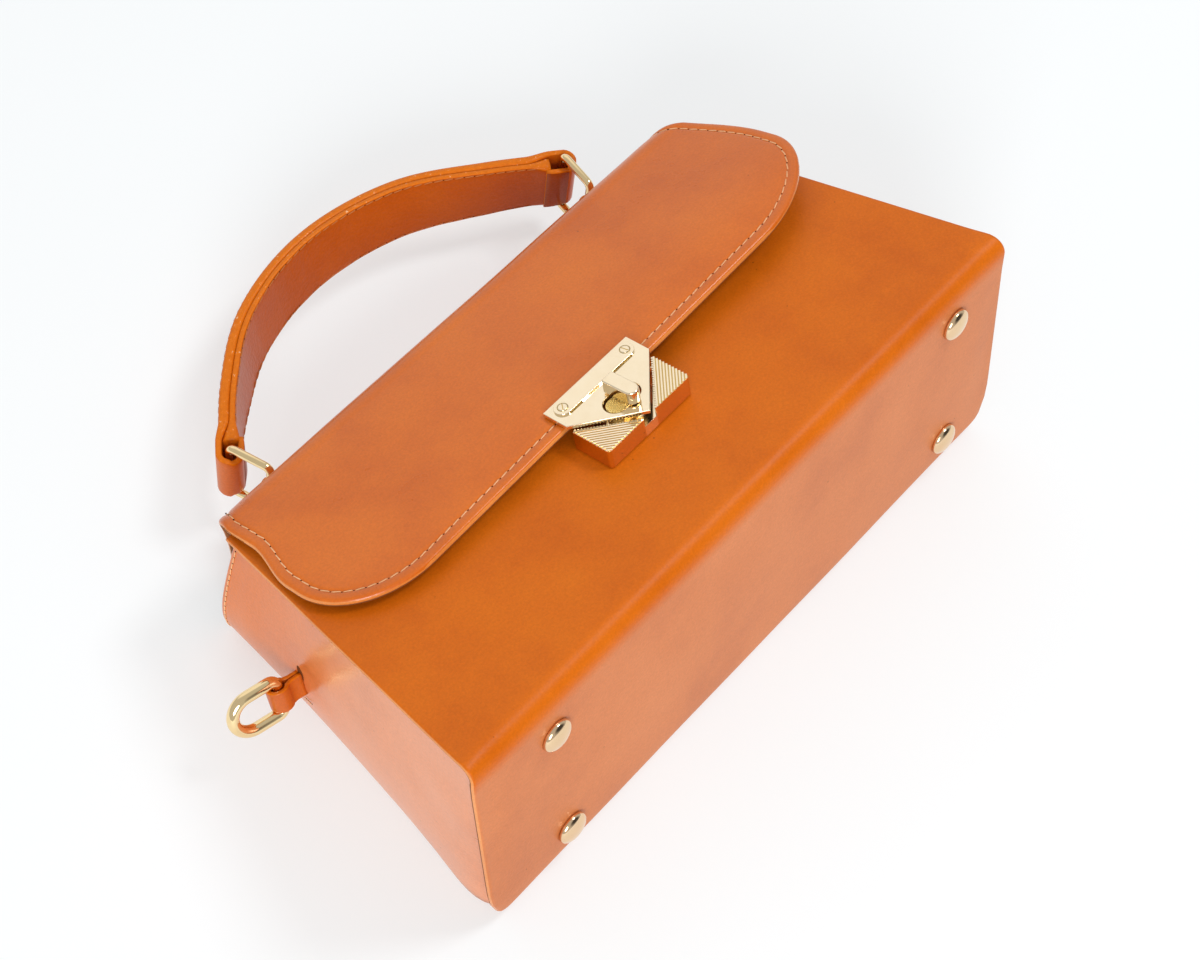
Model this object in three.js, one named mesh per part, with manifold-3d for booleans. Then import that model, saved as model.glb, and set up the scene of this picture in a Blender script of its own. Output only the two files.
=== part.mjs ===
// Structured leather handbag with a top handle, a flap and a turn lock, lying on its back.
// Millimetres, +Z up: X along the width, Y from the base to the handle, Z from the back panel to the front.
// The origin is the middle of the flat back panel, on the surface that the bag lies on.
import * as THREE from 'three';
import Module from 'manifold-3d';
import { mergeVertices } from 'three/addons/utils/BufferGeometryUtils.js';

// Body: the sharp corners of the section, before its folds are rounded
const BASE_WIDTH = 245;
const FRONT_TOP_WIDTH = 207;
const BACK_TOP_WIDTH = 205;
const BACK_PINCH = 2.5;
const BASE_DEPTH = 91.5;
const BASE_LEAN = 9.7;
const FRONT_SLOPE = 17.4;
const FRONT_LENGTH = 118.5;
const BACK_LENGTH = 130;
const BACK_CENTRE = 65;
const FOLD_RADIUS = 6;
const LEATHER = 2.2;
const GAP = 0.3;

// Gussets: side walls set inside the body's edges
const GUSSET_LEATHER = 1.8;
const SEAM_INSET = 1.3;
const HEM_DROP = 2;
const HEM_BULGE = 6;
const BELLY_LOW = 0.6;
const BELLY_POWER = 1.5;
const BELLY_SKEW = 0.65;
const PINCH_BULGE = 0.3;
const PINCH_REACH = 12;
const DENT_DEPTH = 1.5;
const DENT_ABOVE_TAB = 16;

// Flap: flange inside the back panel, lid over the top, flap down the front
const FLAP_LEATHER = 3;
const FLANGE_START = 112;
const FLANGE_HALF = 92;
const LID_RADIUS = 9;
const LID_BACK = 129.2;
const LID_FRONT_UP = 117.5;
const LID_BACK_HALF = 94.7;
const LID_FRONT_HALF = 100.3;
const FLAP_END_UP = 57;
const FLAP_FOLD_RISE = 4.5;
const FLAP_LOCK_RISE = 7.7;
const FLAP_LEFT_SAG = 3;
const FLAP_RIGHT_LIFT = 3.4;
const FLAP_FLAT_UP = 67;
const FLAP_FLAT_HALF = 22;

// The flap's two ends: half width, its rounded corner, and the stretch where it narrows towards the lid
const FLAP_LEFT = { half: 107.3, cornerWide: 32, cornerHigh: 25, wideUp: 87, neckUp: 107, neckHalf: 102.6 };
const FLAP_RIGHT = { half: 114.4, cornerWide: 40, cornerHigh: 27, wideUp: 90, neckUp: 150, neckHalf: 99.9 };

// Lock, in the front panel's own frame: across, up from the base fold, out from the leather
const PLATE_HALF = 18.85;
const PLATE_TOP = 65.3;
const PLATE_SHOULDER = 55.9;
const PLATE_TIP = 39.6;
const PLATE_RISE = 8;
const PLATE_THICKNESS = 1.5;
const SLOT_UP = 49.8;
const SLOT_RADIUS = 3.8;
const SLOT_HALF = 7.6;
const BAR_UP = 61.8;
const BAR_HALF = 14.1;
const BAR_RADIUS = 2.6;
const BAR_RISE = 1;
const SCREW_RADIUS = 1.7;
const SCREW_HEIGHT = 0.6;
const BOX_HALF = 18.3;
const BOX_LOW = 39.9;
const BOX_HIGH = 54.3;
const BOX_RISE = 7.5;
const NOTCH_FLOOR = 4.5;
const NOTCH_MOUTH_HALF = 2.7;
const NOTCH_TOP_HALF = 17.9;
const SEAT_RADIUS = 6.2;
const SEAT_RISE = 6.8;
const KNOB_LENGTH = 12;
const KNOB_WIDTH = 5;
const KNOB_LOW = 10;
const KNOB_HIGH = 15;
const KNOB_POST = 3;
const KNOB_TURN = 2;

// Handle, rings and tabs on the lid
const HANDLE_HEIGHT = 27;
const STRAP_WIDTH = 21;
const STRAP_THICKNESS = 4;
const STRAP_END_LAYER = 1.6;
const STRAP_END_LENGTH = 11;
const STRAP_END_TAPER = 1.6;
const STRAP_STEPS = 40;
const EYE_RADIUS = 4;
const RING_WIRE = 1.4;
const RING_HEIGHT = 25.4;
const RING_REACH = 14.6;
const RING_CORNER = 2.2;
const TAB_STANDOFF = 4.6;
const TAB_EYE_RADIUS = 3.4;
const TAB_FOOT_WIDTH = 14;
const TAB_FOOT_THICKNESS = 1.8;
const TAB_LENGTH = 9;

// Where each handle ring sits on the lid, and how far it splays outwards
const RING_PLACES = [
  { side: 'left', x: -71.6, splay: 13 },
  { side: 'right', x: 78.1, splay: -11.5 },
];

// Middle line of the handle between its rings, and how far the strap leans out there
const HANDLE_ROUTE = [
  { x: -57, y: 171.5, lean: 8 },
  { x: -33, y: 186.3, lean: 15 },
  { x: -1, y: 192.3, lean: 19 },
  { x: 33, y: 186, lean: 17 },
  { x: 60, y: 170.5, lean: 8 },
];

// Side tabs and rings, in a frame that points out of the gusset
const SIDE_TAB_Y = 89.2;
const SIDE_TAB_Z = 26;
const SIDE_TAB_REACH = 8;
const SIDE_TAB_FOOT = 9.4;
const SIDE_EYE_LENGTH = 8.2;
const SIDE_EYE_WALL = 1.6;
const SIDE_TONGUE = 3.2;
const SIDE_RING_WIRE = 2;
const SIDE_RING_HALF = 6.4;
const SIDE_RING_REACH = 16.2;
const SIDE_RING_CORNER = 2.4;
const SIDE_OUT_TILT = 12;
const SIDE_BAR_TILT = 26;
const SIDE_SWINGS = [
  { side: 'left', sign: -1, swing: 0 },
  { side: 'right', sign: 1, swing: -60 },
];

// Feet on the base: distance from the front fold's sharp corner, and from the middle
const FOOT_RADIUS = 5.5;
const FOOT_HEIGHT = 3;
const FOOT_RIM = 0.7;
const FEET = [
  { row: 'front', side: 'left', x: -90.2, fromFront: 19.7 },
  { row: 'front', side: 'right', x: 96.6, fromFront: 16.4 },
  { row: 'back', side: 'left', x: -87.9, fromFront: 76.2 },
  { row: 'back', side: 'right', x: 96.6, fromFront: 74.8 },
];

// Facets
const PANEL_STEPS = 9;
const FOLD_STEPS = 5;
const GUSSET_COLUMNS = 12;
const FLAP_COLUMNS = 22;
const CORNER_STEPS = 8;
const TUBE_SIDES = 10;
const ARC_DIVISIONS = 5;
const ROUND_SIDES = 28;
const WELD = 0.01;

const rad = THREE.MathUtils.degToRad;
const { lerp, smoothstep } = THREE.MathUtils;
const wasm = await Module();
wasm.setup();

const leather = new THREE.MeshStandardMaterial({ color: 0xc96a2c, roughness: 0.4, metalness: 0 });
const gold = new THREE.MeshStandardMaterial({ color: 0xe8cf95, roughness: 0.18, metalness: 1 });
const footMetal = new THREE.MeshStandardMaterial({ color: 0xcfc19a, roughness: 0.25, metalness: 1 });

// Directions in the section, as Y and Z
const BACK_OUT = new THREE.Vector2(0, -1);
const BASE_UP = new THREE.Vector2(Math.sin(rad(BASE_LEAN)), Math.cos(rad(BASE_LEAN)));
const BASE_OUT = new THREE.Vector2(-BASE_UP.y, BASE_UP.x);
const FRONT_UP = new THREE.Vector2(Math.cos(rad(FRONT_SLOPE)), -Math.sin(rad(FRONT_SLOPE)));
const FRONT_OUT = new THREE.Vector2(-FRONT_UP.y, FRONT_UP.x);
const FRONT_FOOT = BASE_UP.clone().multiplyScalar(BASE_DEPTH);

function onFront(x, up, out) {
  const point = FRONT_FOOT.clone().addScaledVector(FRONT_UP, up).addScaledVector(FRONT_OUT, out);
  return new THREE.Vector3(x, point.x, point.y);
}

// Folds of the lid and the lean of its outer face
const LID_BACK_FOLD = new THREE.Vector3(0, LID_BACK, LEATHER + GAP + LID_RADIUS);
const LID_FRONT_FOLD = onFront(0, LID_FRONT_UP, FLAP_FOLD_RISE - LID_RADIUS);
const LID_LEAN = Math.atan2(LID_BACK_FOLD.y - LID_FRONT_FOLD.y, LID_FRONT_FOLD.z - LID_BACK_FOLD.z);

// Closed geometry from points and triangles, turned so that its faces point out
function closedGeometry(points, triangles) {
  let volume = 0;
  for (let i = 0; i < triangles.length; i += 3) {
    const [a, b, c] = [points[triangles[i]], points[triangles[i + 1]], points[triangles[i + 2]]];
    volume += a.dot(b.clone().cross(c));
  }
  const faces = volume < 0 ? triangles.slice().reverse() : triangles;
  const geometry = new THREE.BufferGeometry().setFromPoints(points);
  geometry.setIndex(faces);
  geometry.computeVertexNormals();
  return geometry;
}

// A wall: an outer and an inner face over one grid, joined round the rim
function wall(rows, columns, outerAt, innerAt) {
  const points = [];
  const triangles = [];
  const quad = (a, b, c, d) => triangles.push(a, b, c, a, c, d);
  for (const faceAt of [outerAt, innerAt]) {
    for (let row = 0; row <= rows; row++) {
      for (let column = 0; column <= columns; column++) points.push(faceAt(row, column));
    }
  }
  const outer = (row, column) => row * (columns + 1) + column;
  const inner = (row, column) => outer(row, column) + (rows + 1) * (columns + 1);
  for (let row = 0; row < rows; row++) {
    for (let column = 0; column < columns; column++) {
      const [r, c] = [row + 1, column + 1];
      quad(outer(row, column), outer(row, c), outer(r, c), outer(r, column));
      quad(inner(row, column), inner(r, column), inner(r, c), inner(row, c));
    }
    quad(outer(row, 0), outer(row + 1, 0), inner(row + 1, 0), inner(row, 0));
    quad(outer(row + 1, columns), outer(row, columns), inner(row, columns), inner(row + 1, columns));
  }
  for (let column = 0; column < columns; column++) {
    quad(outer(0, column + 1), outer(0, column), inner(0, column), inner(0, column + 1));
    quad(outer(rows, column), outer(rows, column + 1), inner(rows, column + 1), inner(rows, column));
  }
  return closedGeometry(points, triangles);
}

// A closed ring of wire along a flat path in the XY plane
function wireRing(path, radius) {
  const stops = path.getPoints(ARC_DIVISIONS);
  const route = stops.filter((stop, i) => stop.distanceTo(stops.at(i - 1)) > WELD);
  const count = route.length;
  const points = [];
  const triangles = [];
  route.forEach((place, i) => {
    const ahead = route[(i + 1) % count].clone().sub(place).normalize();
    const behind = place.clone().sub(route[(i + count - 1) % count]).normalize();
    const along = ahead.clone().add(behind).normalize();
    const mitre = 1 / Math.max(along.dot(ahead), 0.5);
    const sideways = new THREE.Vector3(along.y, -along.x, 0).multiplyScalar(mitre);
    for (let side = 0; side < TUBE_SIDES; side++) {
      const angle = (2 * Math.PI * side) / TUBE_SIDES;
      const point = new THREE.Vector3(place.x, place.y, radius * Math.sin(angle));
      points.push(point.addScaledVector(sideways, radius * Math.cos(angle)));
    }
  });
  for (let i = 0; i < count; i++) {
    for (let side = 0; side < TUBE_SIDES; side++) {
      const [next, turn] = [(i + 1) % count, (side + 1) % TUBE_SIDES];
      const [a, b] = [i * TUBE_SIDES + side, i * TUBE_SIDES + turn];
      const [c, d] = [next * TUBE_SIDES + turn, next * TUBE_SIDES + side];
      triangles.push(a, b, c, a, c, d);
    }
  }
  return closedGeometry(points, triangles);
}

// Joins and cuts
function solidOf(geometry) {
  const bare = geometry.clone();
  bare.deleteAttribute('normal');
  bare.deleteAttribute('uv');
  const merged = mergeVertices(bare, 1e-4);
  const vertProperties = new Float32Array(merged.attributes.position.array);
  const triVerts = new Uint32Array(merged.index.array);
  return new wasm.Manifold(new wasm.Mesh({ numProp: 3, vertProperties, triVerts }));
}

function geometryOf(solid) {
  const mesh = solid.getMesh();
  const geometry = new THREE.BufferGeometry();
  geometry.setAttribute('position', new THREE.BufferAttribute(new Float32Array(mesh.vertProperties), 3));
  geometry.setIndex(new THREE.BufferAttribute(new Uint32Array(mesh.triVerts), 1));
  geometry.computeVertexNormals();
  return geometry;
}

function joined(first, ...others) {
  return geometryOf(others.reduce((solid, part) => solid.add(solidOf(part)), solidOf(first)));
}

function extruded(shape, depth, lift) {
  const settings = { depth, bevelEnabled: false, curveSegments: ROUND_SIDES / 2 };
  return new THREE.ExtrudeGeometry(shape, settings).translate(0, 0, lift);
}

// A tube of leather round a wire, its axis along Z and its middle at the origin
function eyeTube(outerRadius, innerRadius, length) {
  const shape = new THREE.Shape().absarc(0, 0, outerRadius, 0, 2 * Math.PI);
  shape.holes.push(new THREE.Path().absarc(0, 0, innerRadius, 0, 2 * Math.PI));
  return extruded(shape, length, -length / 2);
}

// A slot or bar outline: two half circles joined by straight sides
function capsule(PathClass, half, radius, up) {
  return new PathClass()
    .absarc(half - radius, up, radius, -Math.PI / 2, Math.PI / 2)
    .absarc(radius - half, up, radius, Math.PI / 2, 1.5 * Math.PI)
    .closePath();
}

const bag = new THREE.Group();
bag.position.y = -BACK_CENTRE;

function addMesh(parent, name, geometry, material) {
  const mesh = new THREE.Mesh(geometry, material);
  mesh.name = name;
  parent.add(mesh);
  return mesh;
}

// Half widths of the panels
function backHalf(y) {
  const along = THREE.MathUtils.clamp(y / BACK_LENGTH, 0, 1);
  return lerp(BASE_WIDTH, BACK_TOP_WIDTH, along) / 2 - BACK_PINCH * Math.sin(Math.PI * along);
}

function frontHalf(up) {
  return lerp(BASE_WIDTH, FRONT_TOP_WIDTH, Math.max(up, 0) / FRONT_LENGTH) / 2;
}

// Centre of the fold that rounds a corner between two faces
function foldCentre(corner, outA, outB) {
  const reach = FOLD_RADIUS / (1 + outA.dot(outB));
  return corner.clone().addScaledVector(outA, -reach).addScaledVector(outB, -reach);
}

// Rows of the section set in from its outer face: back panel, fold, base, fold, front panel
function sectionRows(inset, backTop, frontTop) {
  const rows = [];
  const add = (y, z, half) => rows.push({ y, z, half });
  const backFold = foldCentre(new THREE.Vector2(0, 0), BACK_OUT, BASE_OUT);
  const frontFold = foldCentre(FRONT_FOOT, BASE_OUT, FRONT_OUT);
  const angles = [-90, -180 - BASE_LEAN, -270 - FRONT_SLOPE].map(rad);
  const foldPoint = (centre, from, to, step) => {
    const angle = lerp(from, to, step / FOLD_STEPS);
    const radius = FOLD_RADIUS - inset;
    return [centre.x + radius * Math.cos(angle), centre.y + radius * Math.sin(angle)];
  };
  for (let step = 0; step < PANEL_STEPS; step++) {
    const y = lerp(backTop, backFold.x, step / PANEL_STEPS);
    add(y, inset, backHalf(y));
  }
  for (let step = 0; step <= FOLD_STEPS; step++) {
    const [y, z] = foldPoint(backFold, angles[0], angles[1], step);
    add(y, z, lerp(backHalf(backFold.x), BASE_WIDTH / 2, step / FOLD_STEPS));
  }
  for (let step = 0; step <= FOLD_STEPS; step++) {
    add(...foldPoint(frontFold, angles[1], angles[2], step), BASE_WIDTH / 2);
  }
  const foldUp = frontFold.clone().sub(FRONT_FOOT).dot(FRONT_UP);
  for (let step = 1; step <= PANEL_STEPS; step++) {
    const up = lerp(foldUp, frontTop, step / PANEL_STEPS);
    const point = onFront(0, up, -inset);
    add(point.y, point.z, frontHalf(up));
  }
  return rows;
}

// Body: front, base and back in one bent wall
function bodyGeometry() {
  const outer = sectionRows(0, BACK_LENGTH, FRONT_LENGTH);
  const inner = sectionRows(LEATHER, BACK_LENGTH, FRONT_LENGTH);
  const at = (rows) => (row, column) => {
    const { y, z, half } = rows[row];
    return new THREE.Vector3(column ? half : -half, y, z);
  };
  return wall(outer.length - 1, 1, at(outer), at(inner));
}

// How far a gusset stands out: most at its hem, pinched at the tab and dented above it
function gussetBulge(y, z, acrossDepth) {
  const height = THREE.MathUtils.clamp(y / BACK_LENGTH, 0, 1);
  const belly = HEM_BULGE * smoothstep(y, 0, BACK_CENTRE) * lerp(BELLY_LOW, 1, height ** BELLY_POWER);
  const near = (dy, dz) => Math.exp(-(dy * dy + dz * dz) / PINCH_REACH ** 2);
  const pinch = PINCH_BULGE * near(y - SIDE_TAB_Y, z - SIDE_TAB_Z);
  const dent = DENT_DEPTH * near(y - SIDE_TAB_Y, z - SIDE_TAB_Z - DENT_ABOVE_TAB);
  return (belly + pinch - dent) * Math.sin(Math.PI * acrossDepth ** BELLY_SKEW);
}

function gussetGeometry(sign) {
  const edge = sectionRows(LEATHER + GAP, BACK_LENGTH - HEM_DROP, FRONT_LENGTH - HEM_DROP);
  const rows = PANEL_STEPS + FOLD_STEPS;
  const at = (depth) => (row, column) => {
    const [back, front] = [edge[row], edge[edge.length - 1 - row]];
    const across = column / GUSSET_COLUMNS;
    const y = lerp(back.y, front.y, across);
    const z = lerp(back.z, front.z, across);
    const half = lerp(back.half, front.half, across) - SEAM_INSET + gussetBulge(y, z, across);
    return new THREE.Vector3(sign * (half - depth), y, z);
  };
  return wall(rows, GUSSET_COLUMNS, at(0), at(GUSSET_LEATHER));
}

// Height of the flap's outer face over the front panel: level at the lock, low at the left, lifted at the right
function flapRise(x, up) {
  const fall = 1 - smoothstep(up, FLAP_FLAT_UP, LID_FRONT_UP);
  const beyond = Math.max(Math.abs(x) - FLAP_FLAT_HALF, 0) / (FLAP_LEFT.half - FLAP_FLAT_HALF);
  const twist = x < 0 ? -FLAP_LEFT_SAG * beyond : FLAP_RIGHT_LIFT * beyond;
  return lerp(FLAP_FOLD_RISE, FLAP_LOCK_RISE + twist, fall);
}

// Half width of one end of the flap at a height up the front
function flapHalf({ half, cornerWide, cornerHigh, wideUp, neckUp, neckHalf }, up) {
  const wide = lerp(half, neckHalf, smoothstep(up, wideUp, neckUp));
  const fall = Math.max(FLAP_END_UP + cornerHigh - up, 0) / cornerHigh;
  return wide - cornerWide * (1 - Math.sqrt(Math.max(1 - fall * fall, 0)));
}

// Rows of the flap from its hidden flange to its free edge: its two ends, and a place for each depth of leather
function flapRows() {
  const rows = [];
  const even = (half) => ({ left: half, right: half });
  const addFold = (centre, from, to, endsFrom, endsTo) => {
    for (let step = 0; step <= FOLD_STEPS; step++) {
      const share = step / FOLD_STEPS;
      const angle = lerp(from, to, share);
      const left = -lerp(endsFrom.left, endsTo.left, share);
      const right = lerp(endsFrom.right, endsTo.right, share);
      const [along, across] = [Math.cos(angle), Math.sin(angle)];
      const place = (x, depth) => {
        const radius = LID_RADIUS - depth;
        return new THREE.Vector3(x, centre.y + radius * along, centre.z + radius * across);
      };
      rows.push({ left, right, place });
    }
  };
  const flange = (x, depth) => new THREE.Vector3(x, FLANGE_START, LEATHER + GAP + depth);
  rows.push({ left: -FLANGE_HALF, right: FLANGE_HALF, place: flange });
  addFold(LID_BACK_FOLD, -Math.PI / 2, LID_LEAN, even(FLANGE_HALF), even(LID_BACK_HALF));
  const frontEnds = { left: flapHalf(FLAP_LEFT, LID_FRONT_UP), right: flapHalf(FLAP_RIGHT, LID_FRONT_UP) };
  addFold(LID_FRONT_FOLD, LID_LEAN, rad(90 - FRONT_SLOPE), even(LID_FRONT_HALF), frontEnds);
  const steps = PANEL_STEPS + CORNER_STEPS;
  for (let step = 1; step <= steps; step++) {
    const up = lerp(LID_FRONT_UP, FLAP_END_UP, Math.sin((Math.PI / 2) * (step / steps)));
    const place = (x, depth) => onFront(x, up, flapRise(x, up) - depth);
    rows.push({ left: -flapHalf(FLAP_LEFT, up), right: flapHalf(FLAP_RIGHT, up), place });
  }
  return rows;
}

function flapGeometry() {
  const rows = flapRows();
  const at = (depth) => (row, column) => {
    const { left, right, place } = rows[row];
    return place(lerp(left, right, column / FLAP_COLUMNS), depth);
  };
  return wall(rows.length - 1, FLAP_COLUMNS, at(0), at(FLAP_LEATHER));
}

// Lock: plate, bar and screws on the flap, box and knob on the front panel
function plateGeometry() {
  const outline = new THREE.Shape()
    .moveTo(-PLATE_HALF, PLATE_TOP)
    .lineTo(-PLATE_HALF, PLATE_SHOULDER)
    .lineTo(0, PLATE_TIP)
    .lineTo(PLATE_HALF, PLATE_SHOULDER)
    .lineTo(PLATE_HALF, PLATE_TOP)
    .closePath();
  outline.holes.push(capsule(THREE.Path, SLOT_HALF, SLOT_RADIUS, SLOT_UP));
  const bar = capsule(THREE.Shape, BAR_HALF + BAR_RADIUS, BAR_RADIUS, BAR_UP);
  const plate = extruded(outline, PLATE_THICKNESS, PLATE_RISE);
  const sunk = PLATE_THICKNESS / 2;
  return joined(plate, extruded(bar, sunk + BAR_RISE, PLATE_RISE + sunk));
}

function screwGeometry(x) {
  const lift = PLATE_RISE + PLATE_THICKNESS + BAR_RISE + GAP + SCREW_HEIGHT / 2;
  const head = new THREE.CylinderGeometry(SCREW_RADIUS, SCREW_RADIUS, SCREW_HEIGHT, ROUND_SIDES);
  return head.rotateX(Math.PI / 2).translate(x, BAR_UP, lift);
}

function boxGeometry() {
  const height = BOX_RISE - GAP;
  const block = new THREE.BoxGeometry(2 * BOX_HALF, BOX_HIGH - BOX_LOW, height);
  block.translate(0, (BOX_LOW + BOX_HIGH) / 2, GAP + height / 2);
  const past = 1;
  const slant = (NOTCH_TOP_HALF - NOTCH_MOUTH_HALF) / (BOX_HIGH - BOX_LOW);
  const notch = new THREE.Shape()
    .moveTo(-NOTCH_MOUTH_HALF + slant * past, BOX_LOW - past)
    .lineTo(NOTCH_MOUTH_HALF - slant * past, BOX_LOW - past)
    .lineTo(NOTCH_TOP_HALF + slant * past, BOX_HIGH + past)
    .lineTo(-NOTCH_TOP_HALF - slant * past, BOX_HIGH + past)
    .closePath();
  const seat = new THREE.CylinderGeometry(SEAT_RADIUS, SEAT_RADIUS, SEAT_RISE - GAP, ROUND_SIDES);
  seat.rotateX(Math.PI / 2).translate(0, SLOT_UP, (SEAT_RISE + GAP) / 2);
  const cut = solidOf(block).subtract(solidOf(extruded(notch, BOX_RISE, NOTCH_FLOOR)));
  const round = solidOf(seat).intersect(solidOf(block));
  return geometryOf(cut.add(round));
}

function knobGeometry() {
  const [halfLength, halfWidth] = [KNOB_LENGTH / 2, KNOB_WIDTH / 2];
  const outline = new THREE.Shape()
    .moveTo(-halfWidth, halfLength)
    .lineTo(-halfWidth, halfWidth - halfLength)
    .absarc(0, halfWidth - halfLength, halfWidth, Math.PI, 2 * Math.PI)
    .lineTo(halfWidth, halfLength)
    .closePath();
  const foot = SEAT_RISE + GAP;
  const postHeight = KNOB_LOW + halfWidth - foot;
  const post = new THREE.CylinderGeometry(KNOB_POST, KNOB_POST, postHeight, ROUND_SIDES);
  post.rotateX(Math.PI / 2).translate(0, 0, foot + postHeight / 2);
  const knob = joined(extruded(outline, KNOB_HIGH - KNOB_LOW, KNOB_LOW), post);
  return knob.rotateZ(rad(KNOB_TURN)).translate(0, SLOT_UP, 0);
}

function addLock() {
  const front = new THREE.Group();
  front.position.set(0, FRONT_FOOT.x, FRONT_FOOT.y);
  front.rotation.x = -rad(FRONT_SLOPE);
  bag.add(front);
  addMesh(front, 'lock_plate', plateGeometry(), gold);
  addMesh(front, 'plate_screw_left', screwGeometry(-BAR_HALF), gold);
  addMesh(front, 'plate_screw_right', screwGeometry(BAR_HALF), gold);
  addMesh(front, 'lock_box', boxGeometry(), gold);
  addMesh(front, 'turn_knob', knobGeometry(), gold);
}

// Handle rings, the tabs that hold them, and the ends of the handle
const LID_FACE_Y = LID_BACK_FOLD.y - Math.tan(LID_LEAN) * (HANDLE_HEIGHT - LID_BACK_FOLD.z)
  + LID_RADIUS / Math.cos(LID_LEAN);
const ringSeats = RING_PLACES.map(({ side, x, splay }) => {
  const tab = new THREE.Vector3(x, LID_FACE_Y + TAB_STANDOFF, HANDLE_HEIGHT);
  const out = new THREE.Vector3(-Math.sin(rad(splay)), Math.cos(rad(splay)), 0);
  return { side, splay, tab, eye: tab.clone().addScaledVector(out, RING_REACH) };
});

function handleRingGeometry() {
  const [reach, half] = [RING_REACH, RING_HEIGHT / 2];
  const corner = RING_CORNER;
  const path = new THREE.Path()
    .moveTo(corner, -half)
    .lineTo(reach - corner, -half)
    .absarc(reach - corner, corner - half, corner, -Math.PI / 2, 0)
    .lineTo(reach, half - corner)
    .absarc(reach - corner, half - corner, corner, 0, Math.PI / 2)
    .lineTo(corner, half)
    .absarc(corner, half - corner, corner, Math.PI / 2, Math.PI)
    .lineTo(0, corner - half)
    .absarc(corner, corner - half, corner, Math.PI, 1.5 * Math.PI);
  return wireRing(path, RING_WIRE);
}

function addRingsAndTabs() {
  for (const { side, splay, tab } of ringSeats) {
    const ring = addMesh(bag, `handle_ring_${side}`, handleRingGeometry(), gold);
    ring.position.copy(tab);
    ring.rotation.set(Math.PI / 2, 0, Math.PI / 2 + rad(splay), 'ZYX');
    const foot = new THREE.BoxGeometry(TAB_FOOT_WIDTH, TAB_FOOT_THICKNESS, TAB_LENGTH);
    foot.translate(0, GAP + TAB_FOOT_THICKNESS / 2 - TAB_STANDOFF * Math.cos(LID_LEAN), 0).rotateX(LID_LEAN);
    const eye = eyeTube(TAB_EYE_RADIUS, RING_WIRE + GAP, TAB_LENGTH);
    const loop = addMesh(bag, `lid_tab_${side}`, joined(foot, eye), leather);
    loop.position.copy(tab);
  }
}

// Handle: a strap standing on its edge along the route, with a loop round each ring
function handleGeometry() {
  const [left, right] = ringSeats.map((seat) => seat.eye);
  const stops = [{ x: left.x, y: left.y, lean: 0 }, ...HANDLE_ROUTE, { x: right.x, y: right.y, lean: 0 }];
  const route = new THREE.CatmullRomCurve3(stops.map(({ x, y }) => new THREE.Vector3(x, y, HANDLE_HEIGHT)));
  const leans = new THREE.CatmullRomCurve3(stops.map(({ lean }, i) => new THREE.Vector3(i, lean, 0)));
  const length = route.getLength();
  const trim = (RING_WIRE + 2 * GAP) / length;
  const endShare = STRAP_END_LENGTH / length;
  const at = (face) => (row, column) => {
    const share = lerp(trim, 1 - trim, row / STRAP_STEPS);
    const along = route.getTangentAt(share);
    const out = new THREE.Vector3(-along.y, along.x, 0);
    const lean = rad(leans.getPoint(route.getUtoTmapping(share)).y);
    const across = (column - 0.5) * STRAP_WIDTH;
    const layer = 1 - smoothstep(Math.min(share, 1 - share), endShare, STRAP_END_TAPER * endShare);
    const depth = face > 0 ? STRAP_THICKNESS / 2 : -STRAP_THICKNESS / 2 - STRAP_END_LAYER * layer;
    const point = route.getPointAt(share);
    point.addScaledVector(out, across * Math.sin(lean) + depth * Math.cos(lean));
    point.z += across * Math.cos(lean) - depth * Math.sin(lean);
    return point;
  };
  const strap = solidOf(wall(STRAP_STEPS, 1, at(1), at(-1)));
  const bore = new THREE.CylinderGeometry(RING_WIRE + GAP, RING_WIRE + GAP, 2 * STRAP_WIDTH, ROUND_SIDES);
  bore.rotateX(Math.PI / 2);
  return geometryOf([left, right].reduce((solid, eye) => {
    const loop = eyeTube(EYE_RADIUS, RING_WIRE + GAP, STRAP_WIDTH).translate(eye.x, eye.y, eye.z);
    const hole = bore.clone().translate(eye.x, eye.y, eye.z);
    return solid.add(solidOf(loop)).subtract(solidOf(hole));
  }, strap));
}

// Side tab: a tongue out of the gusset and a loop round the ring's bar, X outwards and Y along the bar
function sideTabGeometry() {
  const inner = SIDE_RING_WIRE + GAP;
  const eye = eyeTube(inner + SIDE_EYE_WALL, inner, SIDE_EYE_LENGTH);
  eye.rotateX(Math.PI / 2).translate(SIDE_TAB_REACH, 0, 0);
  const neck = SIDE_TAB_REACH - inner - SIDE_EYE_WALL / 2;
  const outline = new THREE.Shape()
    .moveTo(GAP, -SIDE_TAB_FOOT / 2)
    .lineTo(neck, -SIDE_EYE_LENGTH / 2)
    .lineTo(neck, SIDE_EYE_LENGTH / 2)
    .lineTo(GAP, SIDE_TAB_FOOT / 2)
    .closePath();
  return joined(extruded(outline, SIDE_TONGUE, -SIDE_TONGUE / 2), eye);
}

function sideRingGeometry() {
  const [half, corner] = [SIDE_RING_HALF, SIDE_RING_CORNER];
  const bend = SIDE_RING_REACH - half;
  const path = new THREE.Path()
    .moveTo(0, half - corner)
    .lineTo(0, corner - half)
    .absarc(corner, corner - half, corner, Math.PI, 1.5 * Math.PI)
    .lineTo(bend, -half)
    .absarc(bend, 0, half, -Math.PI / 2, Math.PI / 2)
    .lineTo(corner, half)
    .absarc(corner, half - corner, corner, Math.PI / 2, Math.PI);
  return wireRing(path, SIDE_RING_WIRE);
}

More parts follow.
